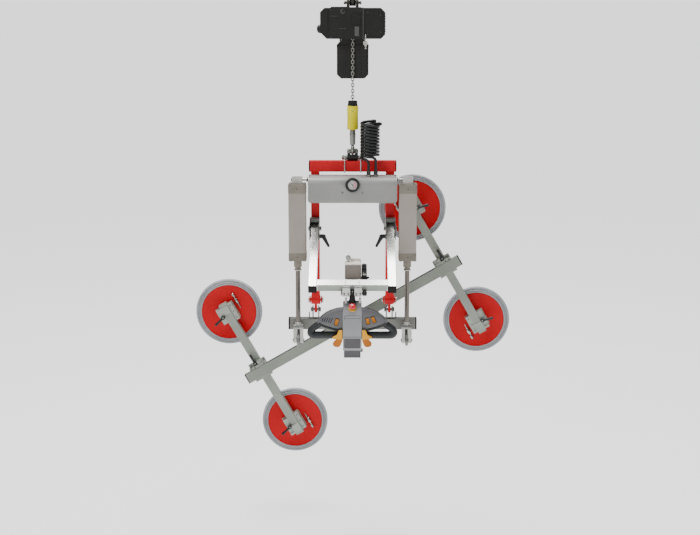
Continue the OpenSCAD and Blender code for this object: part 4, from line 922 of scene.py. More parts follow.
    def hoses(self) -> None:
        for name, start, rise in zip(("a", "b"), self.starts, self.rises):
            path = self.middle_line(start, rise)
            form = Form(f"spiral_hose_{name}")
            form.tube(path, self.hose_radius, HOSE_BLACK, 20)
            piece = form.build("frame", "hose_black", ["spiral_hose"], bevel=0)
            end, toward = path[-1], path[-1] - path[-2]
            toward = toward / np.linalg.norm(toward)
            coupling = Form(f"hose_coupling_{name}")
            steps = np.array([-7.0, -6.9, -1.0, -0.9, 0.0, 0.1, 8.0, 8.1, 13.0])
            radii = np.array([6.3, 7.4, 7.4, 8.2, 8.2, 7.6, 7.6, 6.2, 5.8])
            coupling.tube(end + steps[:, None] * toward, radii, BLACK_PLASTIC, 24)
            plug = coupling.build("frame", "fitting_nickel", bevel=0)
            x, y = path[0][:2]
            fitting = Form(f"hose_fitting_{name}")
            fitting.hexagon(Z, self.top, self.top + 8, (x, y), 11)
            body = [(8, -12), (8, 1), (9, 1.2), (9, 10), (8.4, 11), (8.4, 13), (9, 14), (9, 19),
                    (7, 19.6)]
            collar = [(8.2, 19.4), (8.6, 20.5), (8.6, 22.4), (7.4, 23.6), (6.2, 24)]
            fitting.turned((x, y, self.top), Z, body, SHOT_STEEL, 28)
            fitting.turned((x, y, self.top), Z, collar, BLACK_PLASTIC, 28)
            fitting.build("frame", "fitting_nickel", ["hose_fittings"], bevel=0)

    def build(self) -> None:
        """Build the housing, the gauge and the hoses."""
        self.hoses()
        self.shell()
        self.gauge()


@dataclass
class RedFrame:
    """Top tube, rails, brackets, bolts and the two tilt cylinders."""

    pivot_y: float = -50.0
    pivot_z: float = -978.0
    ear_z: float = -1298.0
    tilt_z: float = -1341.6
    hanger_z: float = -761.0
    cylinder_x: float = 231.0
    cylinder_y: float = -110.0
    cylinder_top: float = -779.0
    cylinder_low: float = -1101.0
    fork_z: float = -1451.6

    def frame_parts(self) -> None:
        """Dress the red frame and brackets; add tube caps and bolts with six-sided heads."""
        dress("red_frame", RED_POWDER, 1.0)
        dress("arm_brackets", BRACKET_STEEL, 0.8)
        caps = Form("top_tube_caps", both_sides=True)
        caps.block((181.4, -22.8, -739.8), (185.5, 22.8, -694.2), CAP_BLACK)
        caps.block((185, -16, -733), (186.4, 16, -701), CAP_BLACK)
        caps.build("frame", "frame_red", bevel=1.2)
        bolts = Form("frame_bolts", both_sides=True)
        hexagonal = (((136.7, 185.3), (132, 139.6), (182.4, 188.3), (self.pivot_y, self.pivot_z)),
                     ((141.7, 176.3), (136.9, 143.6), (174.4, 181.1), (0, self.tilt_z)))
        for shank, head, nut, at in hexagonal:
            bolts.rod(X, *shank, at, 6, DARK_ZINC)
            for start, end in (head, nut):
                bolts.hexagon(X, start, end, at, 10)
        bolts.rod(X, 127, 191, (0, self.ear_z), 7, DARK_ZINC)
        for x, out in ((181, 1), (137, -1)):
            washer = [(13, 0), (16, out * 1.2), (16, out * 4), (14.4, out * 5.4), (0.3, out * 5.4)]
            bolts.turned((x, 0, self.ear_z), X, washer, RED_POWDER, 36)
            low, high = sorted((x + out * 5.2, x + out * 10.6))
            bolts.rod(X, low, high, (0, self.ear_z), 12.5, ZINC, 36)
        hanger = (self.cylinder_y, self.hanger_z)
        bolts.rod(X, 162, 256, hanger, 5, ZINC)
        bolts.hexagon(X, 252.6, 257, hanger, 8.6)
        bolts.rod(X, 189, 195, hanger, 8.4, ZINC)
        bolts.build("frame", "bolt_zinc", ["pivot_bolts"], bevel=0.6)

    def cylinders(self) -> None:
        """Build the grooved barrels and dress their caps, with corner screws and port plugs."""
        x, y = self.cylinder_x, self.cylinder_y
        low, high = self.cylinder_low + 32, self.cylinder_top - 36
        half, depth = 36.5, 3.0
        side = []
        for centre in (-16.0, 16.0):
            side += [(half, centre - 3), (half - depth, centre - 3), (half - depth, centre + 3),
                     (half, centre + 3)]
        right = np.array([*arc((half - 4, -half + 4), 4, -90, 0, 5), *side,
                          *arc((half - 4, half - 4), 4, 0, 90, 5)])
        outline = np.vstack([right, -right]) + (x, y)
        barrel = Form("cylinder_profiles", both_sides=True)
        barrel.prism(outline, Z, low, high, BARREL_ALUMINIUM)
        barrel.build("frame", "barrel_aluminium", ["cylinder_barrels"], bevel=0.5)
        dress("cylinder_heads", HEAD_ALUMINIUM, 1.2)
        screws = Form("cylinder_screws", both_sides=True)
        for sx in (-28.2, 28.2):
            for sy in (-28.2, 28.2):
                screws.socket_screw(Z, self.cylinder_top, 2.6, (x + sx, y + sy), 5)
                screws.socket_screw(Z, self.cylinder_low, -2.6, (x + sx, y + sy), 5)
        for z in (self.cylinder_top - 18, self.cylinder_low + 16):
            screws.rod(Y, y - 37.9, y - 30, (x, z), 5.7, NICKEL)
            screws.hexagon(Y, y - 38.2, y - 37.7, (x, z), 2.8, SOCKET_DARK)
            screws.turned((x, y - 37.5, z), Y, [(8.2, 0.4), (8.2, -0.5), (6, -0.7)],
                          HEAD_ALUMINIUM, 28)
        screws.block((x - 21.4, y - 14.4, -779.6), (x + 21.4, y + 14.4, -748.5), HANGER_ALUMINIUM)
        ring_z = self.cylinder_low - 46
        screws.turned((x, y, ring_z), Z, [(14.6, -0.4), (15.6, 0.6), (15.6, 4.4), (14.6, 5.4)],
                      NICKEL, 32)
        screws.build("frame", "head_aluminium", bevel=0.3)

    def rods(self) -> None:
        """Build the chromed rods and the forks with their pins and clips."""
        x, y, pin = self.cylinder_x, self.cylinder_y, self.fork_z
        top = pin + 82
        form = Form("rods_and_forks", both_sides=True)
        form.rod(Z, top - 5, -1063, (x, y), 10, CHROME, 40)
        form.rod(Z, -1064, -1039, (x, y), 31.4, DARK_ZINC, 40)
        form.turned((x, y, top), Z, [(13, -13), (13, -1.5), (11.5, 0)], ZINC, 32)
        form.hexagon(Z, top - 9.5, top - 2.5, (x, y), 14.4)
        for side in (-1, 1):
            low, high = sorted((x + side * 7.5, x + side * 21))
            cheek = [*arc((y, pin), 13, 180, 360, 16), (y + 13, pin + 53), (y - 13, pin + 53)]
            form.prism(cheek, X, low, high, ZINC)
            form.rod(X, x + side * 21.2, x + side * 22.6, (y, pin), 8.5, DARK_ZINC)
        shoulder = [(y - 13, pin + 52), (y + 13, pin + 52), (y + 13, pin + 64), (y + 9, pin + 70),
                    (y - 9, pin + 70), (y - 13, pin + 64)]
        form.prism(shoulder, X, x - 21, x + 21, ZINC)
        form.rod(X, x - 25, x + 25, (y, pin), 6, DARK_ZINC)
        form.build("rods", "rod_chrome", ["piston_rods"], bevel=1.1)

    def build(self) -> None:
        """Build the frame and the cylinders."""
        self.frame_parts()
        self.cylinders()
        self.rods()


@dataclass
class HandleArm:
    """Swinging arms, cross tube, valve box, regulator and the two clamp levers."""

    pivot_y: float = -50.0
    pivot_z: float = -978.0
    slope: float = 30.0
    cross_at: float = 361.0

    def arm_frame(self) -> Frame:
        """Frame at the pivot: its Y axis runs down the arm, its Z axis stands up from it."""
        c, s = math.cos(math.radians(self.slope)), math.sin(math.radians(self.slope))
        return Frame((0.0, self.pivot_y, self.pivot_z), ((1, 0, 0), (0, -c, -s), (0, -s, c)))

    def tubes(self) -> None:
        """Dress the tubes; add end caps, and straps, a duller front face painted as shade, and
        screws on the cross tube.
        """
        dress("arm_tubes", ARM_ALUMINIUM, 1.6)
        dress("arm_cross_tube", TUBE_ALUMINIUM, 1.4)
        arm = self.arm_frame()
        caps = Form("arm_caps", arm, both_sides=True)
        caps.block((143.7, 383.6, -17.3), (178.3, 388.6, 17.3), CAP_BLACK)
        caps.block((148, 388, -13), (174, 389.6, 13), CAP_BLACK)
        caps.block((144.2, -21.8, -16.8), (177.8, -19.4, 16.8), CAP_BLACK)
        caps.build("handle_arm", "arm_silver", bevel=1.2)
        fittings = Form("cross_tube_fittings", arm, both_sides=True)
        c = self.cross_at
        fittings.block((25.5, c - 17.2, -17.2), (30.5, c + 17.2, 17.2), ZINC)
        # Thin sheets of a duller, darker aluminium over the cross tube's front face: painted shade
        # on that face.
        for x0, x1 in ((-1, 25), (31, 139)):
            fittings.block((x0, c + 16.6, -16.4), (x1, c + 17.4, 16.4), MOUNT_ALUMINIUM)
        fittings.turned((65, c, -16), Z, [(5, 1), (5, -2.5), (4, -4.5), (0.3, -5)], BLACK_RUBBER,
                        24)
        fittings.socket_screw(Z, 17.2, 2.0, (28, c), 2.4)
        fittings.build("handle_arm", "arm_silver", bevel=0.8)
        jaws = Form("yoke_clamp_screws", both_sides=True)
        for x in (16, 32):
            jaws.socket_screw(Y, -393.2, -2.4, (x, -1188), 4.2)
        jaws.build("handle_arm", "arm_silver", bevel=0.3)

    def valve(self) -> None:
        """Build the valve box with its framed front, pale lid and knurled knob."""
        form = Form("valve_box_and_knob")
        form.block((-30.5, -330, -1143.5), (36.5, -250, -1082), VALVE_BROWN)
        outer = round_rectangle((-28, -1140), (34, -1086), 3)
        form.prism(outer, Y, -331.2, -329.5, VALVE_BROWN)
        form.prism(round_rectangle((-23.5, -1135.5), (29.5, -1090.5), 2), Y, -332, -331,
                   VALVE_BROWN)
        for x in (-26, 32):
            for z in (-1138, -1088):
                form.socket_screw(Y, -331, -1.3, (x, z), 2.0)
        form.block((-29, -328, -1082), (35, -252, -1079), VALVE_LID)
        form.block((-8, -262, -1080), (35, -252, -1068), VALVE_LID)
        form.turned((-17, -270, -1079), Z, [(6.5, -0.5), (6.5, 2), (4, 2.4), (4, 10)], NICKEL, 24)
        form.prism(gear_ring(10.8, 9.9, 20, (-17, -1063)), Y, -276, -264, DARK_ZINC)
        form.turned((-17, -276, -1063), Y, [(8.2, 0.5), (8.2, -0.8), (3, -1.4), (0.3, -1.4)], ZINC,
                    28)
        form.build("handle_arm", "valve_brown", ["valve_box"], bevel=1.4)
        reg = Form("filter_and_regulator")
        reg.prism(round_rectangle((37.5, -326), (59.5, -296), 4), Z, -1137, -1104, BLACK_PLASTIC)
        reg.prism(gear_ring(10.6, 9.6, 14, (48.5, -311)), Z, -1102, -1084, BLACK_PLASTIC)
        reg.turned((48.5, -311, -1084), Z, [(10, -0.5), (10, 1.6), (7.5, 3.8), (0.3, 4)],
                   BLACK_PLASTIC, 32)
        reg.block((36.5, -330, -1144), (62, -290, -1136), BLACK_PLASTIC)
        reg.turned((61, -310, -1137.5), X, [(5.2, -1), (5.2, 4), (4, 4.4), (4, 8.5), (2.4, 8.7)],
                   BLACK_PLASTIC, 20)
        reg.turned((48.5, -326, -1120), Y, [(7.2, 1), (7.2, -1.6), (6.2, -2.4)], NICKEL, 28)
        reg.build("handle_arm", "valve_black", ["filter_regulator"], bevel=0.8)

    def clamp_levers(self) -> None:
        """Build the two cast clamp levers, each a hub and a handle that thins and then swells."""
        arm, hub = self.arm_frame(), (52, 0)
        centre = arm.place(np.array([123.4, *hub]))
        lean = math.radians(28)
        down = np.array([-math.sin(lean), 0.0, -math.cos(lean)])
        steps = np.array([-6.5, -5.0, 0.0, 8.0, 18.0, 30.0, 40.0, 47.0, 50.5, 52.2])
        radii = np.array([3.2, 7.6, 9.4, 9.2, 7.8, 6.6, 6.2, 5.9, 4.2, 0.6])
        path = centre + steps[:, None] * down
        for side, name in ((-1, "left"), (1, "right")):
            form = Form(f"clamp_lever_cast_{name}")
            place = arm.inside((0.0, 0.0, 0.0), side < 0)
            form.rod(X, 117, 139.2, hub, 9, BLACK_PLASTIC, 32, place)
            form.rod(X, 137, 139.3, hub, 10, DARK_ZINC, 32, place)
            form.rod(X, 112.4, 117.4, hub, 6, DARK_ZINC, 24, place)
            form.rod(X, 138, 145, hub, 5.9, DARK_ZINC, 24, place)
            form.tube(path * (side, 1.0, 1.0), radii, BLACK_PLASTIC, 24)
            form.build(f"clamp_{name}", "lever_black", [f"clamp_lever_{name}"], bevel=0.8)

    def build(self) -> None:
        """Build everything that swings on the arm pivots, apart from the handle."""
        self.tubes()
        self.valve()
        self.clamp_levers()


@dataclass
class ControlHandle:
    """Operator's handle: yoke, spine, wings, grips, stop button, rockers and triggers."""

    yoke_y: float = -380.0
    yoke_z: float = -1188.0
    top: float = -1226.0
    low: float = -1453.0
    half: float = 38.0
    front: float = -402.0
    grip_y: float = -378.0
    squareness: float = 3.4
    stop: tuple[float, float, float] = (0.0, -390.0, -1248.6)
    switches: tuple[tuple[str, float, float, float], ...] = (
        ("left", -63.0, -1302.0, 14.0), ("inner", 62.5, -1298.0, -12.0),
        ("outer", 86.0, -1292.5, -25.0))

    def yoke(self) -> None:
        """Build the yoke with crossbar and two posts, its bolt with the knob, and the gaiter."""
        y, z = self.yoke_y, self.yoke_z
        form = Form("yoke_and_bolt")
        plate = [*arc((y, z), 11, 0, 255, 20), (y - 2, z - 13), (y - 2, self.top),
                 (y + 13, self.top), (y + 13, z)]
        for x in (-8.5, 0.5):
            form.prism(plate[::-1], X, x, x + 8, BLACK_POWDER)
        form.block((-32, -362, self.top - 1), (32, -355, self.top + 3), SPINE_GREY)
        for x in (-25.5, 31):
            form.block((x - 4.5, -386, self.top - 2), (x + 4.5, -370, self.top + 17), ZINC)
            form.rod(Z, self.top + 16, self.top + 21, (x, -378), 3.4, ZINC, 20)
        form.rod(X, -46, 60, (y, z), 6, DARK_ZINC)
        form.hexagon(X, -46.5, -40.2, (y, z), 10)
        form.prism(gear_ring(11.4, 10, 8, (y, z)), X, 43, 58, BLACK_PLASTIC)
        form.rod(X, 39.8, 44, (y, z), 8, BLACK_PLASTIC)
        form.build("control", "yoke_dark", ["handle_yoke"], bevel=1.0)
        gaiter = Form("cable_gaiter")
        count = 19
        along = np.linspace(0, 1, count)
        height = self.top - 1 + 33 * along
        swell = 1.0 * np.cos(along * 6 * 2 * math.pi)
        width = 14.6 - 4.6 * along + swell
        depth = 16.4 - 4.6 * along + swell
        angles = full_turn(32)
        rings = np.stack([width[:, None] * np.cos(angles), -376 + depth[:, None] * np.sin(angles),
                          np.broadcast_to(height[:, None], (count, 32))], axis=-1)
        gaiter.skin(rings, BLACK_RUBBER)
        gaiter.build("control", "yoke_dark", bevel=0)

    def spine(self) -> None:
        """Build the moulded middle: body, lower box, framed panel, crease and yellow collar; the
        lower box, the lower panel, the crease and the panel gaps take a darker grey as painted
        shade.
        """
        h = self.half
        form = Form("handle_spine_shell")
        body = [(-355, -1226), (-368, -1226), (-385, -1242.6), (-402, -1260), (-410, -1310),
                (-416.4, -1360), (-414, -1374), (-404, -1416), (-402, -1421), (-351, -1421),
                (-350, -1400), (-352, -1300)]
        form.prism(body, X, -h, h, SPINE_GREY)
        # The lower box and its knob take the darker grey: painted shade under the handle.
        box = [(-403, -1416), (-398, -1422), (-396, self.low), (-356, self.low), (-351, -1416)]
        form.prism(box, X, -34, 34, SPINE_PAINTED_SHADE)
        form.rod(X, 33, 42, (-376, -1426), 7, SPINE_PAINTED_SHADE)
        form.prism(gear_ring(7.4, 6.6, 10, (-376, -1426)), X, 36, 43, SPINE_PAINTED_SHADE)
        form.build("control", "handle_grey", ["handle_spine"], bevel=3.4, segments=3)
        slope = turned_frame(X, -math.degrees(math.atan2(14, 102)), (0, -402, -1260))
        # The panel's frame, the crease strip and the lower panel take the darker grey: painted
        # shade in the gaps, in the crease and on the downward slope.
        panel = Form("spine_panel", slope)
        panel.prism(round_rectangle((-32.5, -66), (32.5, -15), 4), Y, -0.7, 2, SPINE_PAINTED_SHADE)
        panel.prism(round_rectangle((-31, -64.5), (31, -28), 3), Y, -1.5, 2, SPINE_GREY)
        panel.prism(round_rectangle((-31, -26.6), (31, -16.5), 3), Y, -1.3, 2, SPINE_GREY)
        panel.block((-h + 0.6, -0.6, -103.5), (h - 0.6, 3, -100.5), SPINE_PAINTED_SHADE)
        lower = turned_frame(X, math.degrees(math.atan2(12, 54)), (0, -416, -1362))
        panel.prism(round_rectangle((-33, -50), (33, -6), 4), Y, -0.9, 3, SPINE_PAINTED_SHADE, place=lower)
        panel.build("control", "handle_grey", bevel=0.5)
        tilt = turned_frame(X, 45, self.stop)
        collar = Form("stop_collar", tilt)
        collar.turned((0, 0, 0), Z,
                      [(5.4, -4), (16.5, -4), (16.5, 2.6), (15.2, 4.6), (13, 5), (5.4, 5)],
                      STOP_YELLOW, 40, loop=True)
        collar.build("control", "handle_grey", bevel=0)
        button = Form("stop_mushroom", tilt)
        button.turned((0, 0, 0), Z,
                      [(5, -8), (5, 10.5), (9, 11.6), (13.4, 12.2), (14.2, 13.8), (14.2, 16.4),
                       (13.2, 19.2), (10.4, 21.6), (6, 22.8), (0.3, 23.2)], STOP_RED, 40)
        button.build("estop", "stop_red", ["estop_button"], bevel=0)

    def wing_section(self, stations: int = 40, sides: int = 36) -> Array:
        """Sections of one wing from the spine to its tip.

        At each distance x the section is a superellipse, |y/a|^n + |z/b|^n = 1 with n the
        squareness: b is half the height between the wing's upper and lower edges there, and a is
        half its thickness, which thins towards the tip.

        Args:
            stations: Number of sections.
            sides: Points on each section.

        Returns:
            Rings, shape (stations, sides, 3).
        """
        x = 37 + 106 * np.sin(np.linspace(0, math.pi / 2, stations)) ** 0.9
        upper = np.interp(x, [37, 54, 70, 88, 104, 118, 128, 137, 141, 143],
                          [-1245, -1246, -1250, -1256, -1263.5, -1273, -1282, -1292, -1298, -1303])
        lower = np.interp(x, [37, 64, 84, 100, 118, 130, 137, 141, 143],
                          [-1342, -1340, -1334.5, -1329, -1322.5, -1317.5, -1313.5, -1309, -1305])
        front = np.interp(x, [37, 100, 125, 143], [-402.5, -402.5, -401, -393])
        back = np.interp(x, [37, 100, 143], [-364, -364, -372])
        angle = full_turn(sides)
        cos, sin = (np.sign(wave) * np.abs(wave) ** (2 / self.squareness)
                    for wave in (np.cos(angle), np.sin(angle)))
        y = ((front + back) / 2)[:, None] + ((back - front) / 2)[:, None] * cos
        z = ((upper + lower) / 2)[:, None] + ((upper - lower) / 2)[:, None] * sin
        return np.stack([np.broadcast_to(x[:, None], y.shape), y, z], axis=-1)

    def wings(self) -> None:
        """Build the two wings, the slots of the left one, and frames round the switches."""
        form = Form("handle_wings", both_sides=True)
        form.skin(self.wing_section(), WING_GREY)
        form.build("control", "panel_grey", ["side_panels"], bevel=0)
        detail = Form("wing_details")
        for i in range(5):
            lean = turned_frame(Y, 24, (-84 - i * 9, 0, -1296 + i * 1.0))
            detail.prism(round_rectangle((-1.7, -13 + i), (1.7, 13 - i), 1.6), Y, self.front - 0.9,
                         -398, BLACK_PLASTIC, lean)
        for _, x, z, angle in self.switches:
            seat = turned_frame(Y, angle, (x, 0, z))
            rim = round_rectangle((-8.6, -15.2), (8.6, 15.2), 3)
            detail.prism(rim, Y, self.front - 1.4, -398, BLACK_PLASTIC, place=seat)
        x = np.linspace(38, 136, 20)
        edge = np.interp(x, [37, 64, 84, 100, 118, 130, 137],
                         [-1338, -1336, -1330.5, -1325, -1318.5, -1313.5, -1309])
        for side in (-1, 1):
            detail.tube(np.column_stack([side * x, np.full(20, -397.5), edge]), 5.6, GRIP_RUBBER)
        for x, z in ((-112, -1268), (112, -1268), (-52, -1334), (52, -1334)):
            detail.socket_screw(Y, self.front, -0.8, (x, z), 2.6)
        detail.build("control", "panel_grey", bevel=0.4)

    def grips(self) -> None:
        """Build the two looped grips: a tube from the spine, round a corner, up into the wing."""
        corner = [(34, -1362), (60, -1362), (100, -1362), (138, -1362), (157, -1361.2),
                  (166.5, -1356), (168.5, -1348), (164, -1339), (154, -1330), (142, -1321),
                  (133, -1315)]
        path = np.insert(through(corner, 6), 1, self.grip_y, axis=1)
        share = np.linspace(0, 1, len(path))
        radius = 14.2 + 1.5 * np.sin(math.pi * np.clip(share * 1.5, 0, 1)) ** 0.6
        form = Form("looped_grips", both_sides=True)
        form.tube(path, radius, GRIP_RUBBER, 32)
        form.build("control", "grip_rubber", ["handle_grips"], bevel=0)

    def switches_and_triggers(self) -> None:
        """Build the rockers with their hollow caps and the two-lobed finger triggers."""
        for name, x, z, angle in self.switches:
            seat = turned_frame(Y, angle, (x, self.front, z))
            z_line = np.linspace(-12, 12, 13)
            hollow = np.column_stack([-1.6 - 2.6 * (z_line / 12) ** 2, z_line])
            outline = np.vstack([[(8, -12)], hollow, [(8, 12)]])
            form = Form(f"rocker_cap_{name}", seat)
            form.prism(outline, X, -6.4, 6.4, AMBER)
            for mark in (-7.5, 7.5):
                form.block((-2.4, -3.6, mark - 0.6), (2.4, -1.5, mark + 0.6), TRIGGER_AMBER)
            body = {"left": "rocker_l", "inner": "rocker_i", "outer": "rocker_o"}[name]
            form.build(body, "switch_amber", [f"rocker_{name}"], bevel=0.9)
        upper = through([(40, -1333), (55, -1335.5), (62, -1352), (78, -1361), (80.5, -1366),
                         (76, -1369.4), (64, -1371), (40, -1373)], 3)
        lower = through([(41, -1369), (64, -1370), (69, -1376), (77, -1383.5), (78.6, -1392),
                         (74, -1400.5), (61, -1404), (49, -1399), (40, -1378)], 3)
        for side, name, body in ((-1, "left", "trigger_l"), (1, "right", "trigger_r")):
            form = Form(f"finger_trigger_{name}")
            form.prism(upper * (side, 1), Y, -417.6, -406.4, TRIGGER_YELLOW)
            form.prism(lower * (side, 1), Y, -417.0, -407.0, TRIGGER_AMBER)
            form.rod(X, side * 27, side * 42, (-411, -1366), 2.9, DARK_ZINC, 16)
            form.build(body, "switch_amber", [f"trigger_{name}"], bevel=3.0, segments=3)

    def build(self) -> None:
        """Build the whole handle."""
        self.yoke()
        self.spine()
        self.wings()
        self.grips()
        self.switches_and_triggers()


def cast_lever(form: Form, seat: Frame, reach: float) -> None:
    """Add a clamping lever to a form: a hub along Y and a handle that leaves along local Z.

    The handle's radius falls from the hub, swells again and closes in a rounded end.

    Args:
        form: Form that takes the skins.
        seat: Frame at the hub's foot, Y towards the clamp, Z along the handle.
        reach: Length from the hub's axis to the handle's end.
    """
    form.rod(Y, -18, -1, (0, 0), 8.8, BLACK_PLASTIC, 32, seat)
    form.rod(Y, -3, 0, (0, 0), 9.4, DARK_ZINC, 32, seat)
    form.hexagon(Y, -19, -17.6, (0, 0), 4.6, place=seat)
    share = np.array([0.0, 0.02, 0.1, 0.25, 0.45, 0.7, 0.88, 0.96, 0.99, 1.0])
    radii = np.array([4.0, 6.4, 6.2, 5.2, 4.8, 5.6, 6.3, 5.4, 3.4, 0.6])
    path = np.column_stack([np.zeros(10), np.full(10, -13.0), reach * share])
    form.tube(path, radii, BLACK_PLASTIC, 24, seat)


@dataclass
class TiltBar:
    """Tilt bar with its lugs and the hub that the pad frame turns on."""

    z: float = -1403.0

    def build(self) -> None:
        """Dress the bar and the hub; add end caps, gussets, bolts and plugs."""
        dress("tilt_bar", BAR_ALUMINIUM, 1.4)
        dress("swivel_hub", HUB_METAL, 1.2)
        form = Form("tilt_bar_fittings", both_sides=True)
        form.block((271.4, -22.9, self.z - 22.9), (277.8, 22.9, self.z + 22.9), CAP_BLACK)
        gusset = [(-15, self.z + 22), (15, self.z + 22), (9, self.z + 34), (2, self.z + 50),
                  (-2, self.z + 50), (-9, self.z + 34)]
        form.prism(gusset, X, 185, 189.5, BAR_ALUMINIUM)
        form.rod(Y, -23.6, -22, (252, self.z), 4.2, BLACK_RUBBER, 20)
        form.rod(Y, -23.2, -22, (120, self.z - 8), 3, BLACK_RUBBER, 20)
        form.build("tilt", "bar_grey", bevel=0.9)
        bolts = Form("hub_bolts", both_sides=True)
        for z in (-1438, -1470):
            bolts.hexagon(Y, 16.5, 22.5, (56, z), 8.2)
            bolts.rod(Y, 21, 22.8, (56, z), 9.6, DARK_ZINC, 24)
        bolts.hexagon(Y, 31.4, 37.4, (62, -1397), 8.2)
        bolts.build("tilt", "hub_grey", bevel=0.6)


@dataclass
class PadFrame:
    """Turning beam, cross arms with their saddles, and the four suction pads."""

    hub_z: float = -1430.0
    angle: float = 30.0
    cross_u: float = 477.0
    pad_v: float = 295.0

    def beam_frame(self) -> Frame:
        """Frame on the hub's axis with X along the beam."""
        return turned_frame(Y, -self.angle, (0.0, 0.0, self.hub_z))

    def beam(self) -> None:
        """Dress the beam; add its end caps, the black strip in its upper groove, which stands for
        the shade along the beam's top, and screws.
        """
        dress("main_beam", BEAM_ALUMINIUM, 1.2)
        form = Form("beam_fittings", self.beam_frame())
        for side in (-1, 1):
            x0, x1 = sorted((side * 545.3, side * 550))
            form.block((x0, 159.7, -22.4), (x1, 190.3, 22.4), CAP_BLACK)
        # Black strip along the beam's upper face: painted shade of the top face.
        form.block((-434, 164, 21.6), (434, 186, 22.2), BLACK_RUBBER)
        for x in (-330, -248, -150, 150, 248, 330):
            form.socket_screw(Y, 160, -0.2, (x, -8 if x < 0 else 8), 3.0)
        form.build("rotor", "beam_aluminium", bevel=0.7)

    def cross_arm(self, side: int, name: str) -> None:
        """Dress one cross arm and saddle, with screws and its clamping lever.

        Args:
            side: -1 for the left end of the beam, 1 for the right.
            name: "left" or "right".
        """
        dress(f"cross_arm_{name}", CROSS_ALUMINIUM, 1.0)
        place = self.beam_frame().inside((side * self.cross_u, 0, 0), side > 0)
        form = Form(f"saddle_screws_{name}", place)
        for x in (-32, 32):
            form.socket_screw(Z, 34.3, 2.4, (x, 176), 4.2)
            form.socket_screw(Z, -32.3, -2.4, (x, 180), 4.2)
        form.socket_screw(Y, 190.3, -2.6, (-30, 41), 3.6)
        form.socket_screw(Y, 168, -2.4, (24, 41), 3.2)
        form.rod(Y, 163.2, 164.4, (-14, 28), 2.6, SOCKET_DARK, 16)
        form.build(f"cross_{name}", "beam_aluminium", bevel=0.4)
        lever = Form(f"arm_clamp_lever_{name}")
        seat = place.inside((-6.0, 190.0, 43.6))
        cast_lever(lever, seat, 46.0)
        lever.build(f"lock_{name}", "lever_black", [f"arm_lever_{name}"], bevel=0.6)

    def pad(self, number: int, side: int, up: int) -> None:
        """Build one pad: mount screws, lever, lacquered plate, rubber seal and hose nipple.

        Args:
            number: Number of the pad.
            side: -1 left, 1 right.
            up: 1 for the upper end of the cross arm, -1 for the lower.
        """
        body = f"pad_{number}"
        place = self.beam_frame().inside((side * self.cross_u, 0, up * self.pad_v), side > 0)
        dress(f"pad_mount_{number}", MOUNT_ALUMINIUM, 1.0)
        mount = Form(f"pad_mount_screws_{number}", place)
        for z in (-30, 0, 30):
            mount.socket_screw(Y, 206.5, -2.2, (28.3, z), 3.4)
        for x in (-36, 32):
            mount.hexagon(Y, 245.8, 251, (x, 0), 7.4)
        mount.build(body, "beam_aluminium", bevel=0.3)
        plate = Form(f"pad_disc_{number}", place)
        plate.turned((0, 254, 0), Y,
                     [(0.3, 8), (123.0, 8), (123.5, 7), (123.5, 1.6), (122.6, 0.2), (120.6, -0.5),
                      (118.8, 0.1), (117.6, 0.5), (52, 0.2), (48, -0.8), (30, -0.8), (0.3, -0.8)],
                     PAD_RED, 96)
        plate.build(body, "pad_red", [f"pad_plate_{number}"], bevel=0)
        seal = Form(f"pad_lip_{number}", place)
        bead = arc((133.2, 258.0), 4.6, 200, 330, 8)
        lip = arc((143.6, 262.6), 6.4, 195, 345, 10)
        outer = [(110, 262), (123.9, 262), (123.9, 254.6), (125.4, 252.6), (128.4, 252.8),
                 *bead[2:], (138.0, 258.2), *lip, (150, 264), (150, 271), (147, 277), (136, 277),
                 (128, 269), (110, 268)]
        seal.turned((0, 0, 0), Y, outer, SEAL_RUBBER, 112, loop=True)
        # The channel between the lips takes the darker rubber: painted shade in the recess.
        seal.turned((0, 0, 0), Y,
                    [(128.2, 256.5), (128.6, 253.7), (129.6, 253.3), (134.2, 253.4), (137.6, 256.6),
                     (138.6, 260)],
                    SEAL_CHANNEL_SHADE, 112, loop=True)
        seal.build(body, "seal_grey", [f"pad_seal_{number}"], bevel=0)
        nipple = Form(f"pad_valve_{number}", place)
        steps = up * np.array([-9.0, -8.8, 8.0, 8.2, 17.0, 18.0, 22.0, 37.0, 41.0, 42.0, 49.0, 50.0,
                               52.0, 66.0, 68.5])
        radii = np.array([1.2, 2.0, 2.0, 3.4, 3.4, 5.6, 7.6, 7.6, 5.6, 2.6, 2.6, 5.0, 6.0, 6.0,
                          3.6])
        nipple.tube(np.column_stack([np.full(15, 57.0), np.full(15, 246.8), steps]), radii, NICKEL,
                    28)
        nipple.block((53, 246, up * 30 - 6), (61, 254.4, up * 30 + 6), ZINC)
        nipple.build(body, "beam_aluminium", bevel=0.4)
        lever = Form(f"pad_clamp_lever_{number}")
        axes = np.array(place.columns)
        handle = -math.cos(math.radians(15)) * axes[0] - math.sin(math.radians(15)) * axes[2]
        hub = place.place(np.array([(-24.0, 197.2, 0.0)]))[0]
        cast_lever(lever, Frame(tuple(hub),
                                (tuple(np.cross(axes[1], handle)), tuple(axes[1]), tuple(handle))),
                   50.0)
        lever.build(f"pad_lock_{number}", "lever_black", [f"pad_lever_{number}"], bevel=0.6)

    def build(self) -> None:
        """Build the turning part."""
        self.beam()
        self.cross_arm(-1, "left")
        self.cross_arm(1, "right")
        for number, side, up in ((1, -1, 1), (2, -1, -1), (3, 1, 1), (4, 1, -1)):
            self.pad(number, side, up)


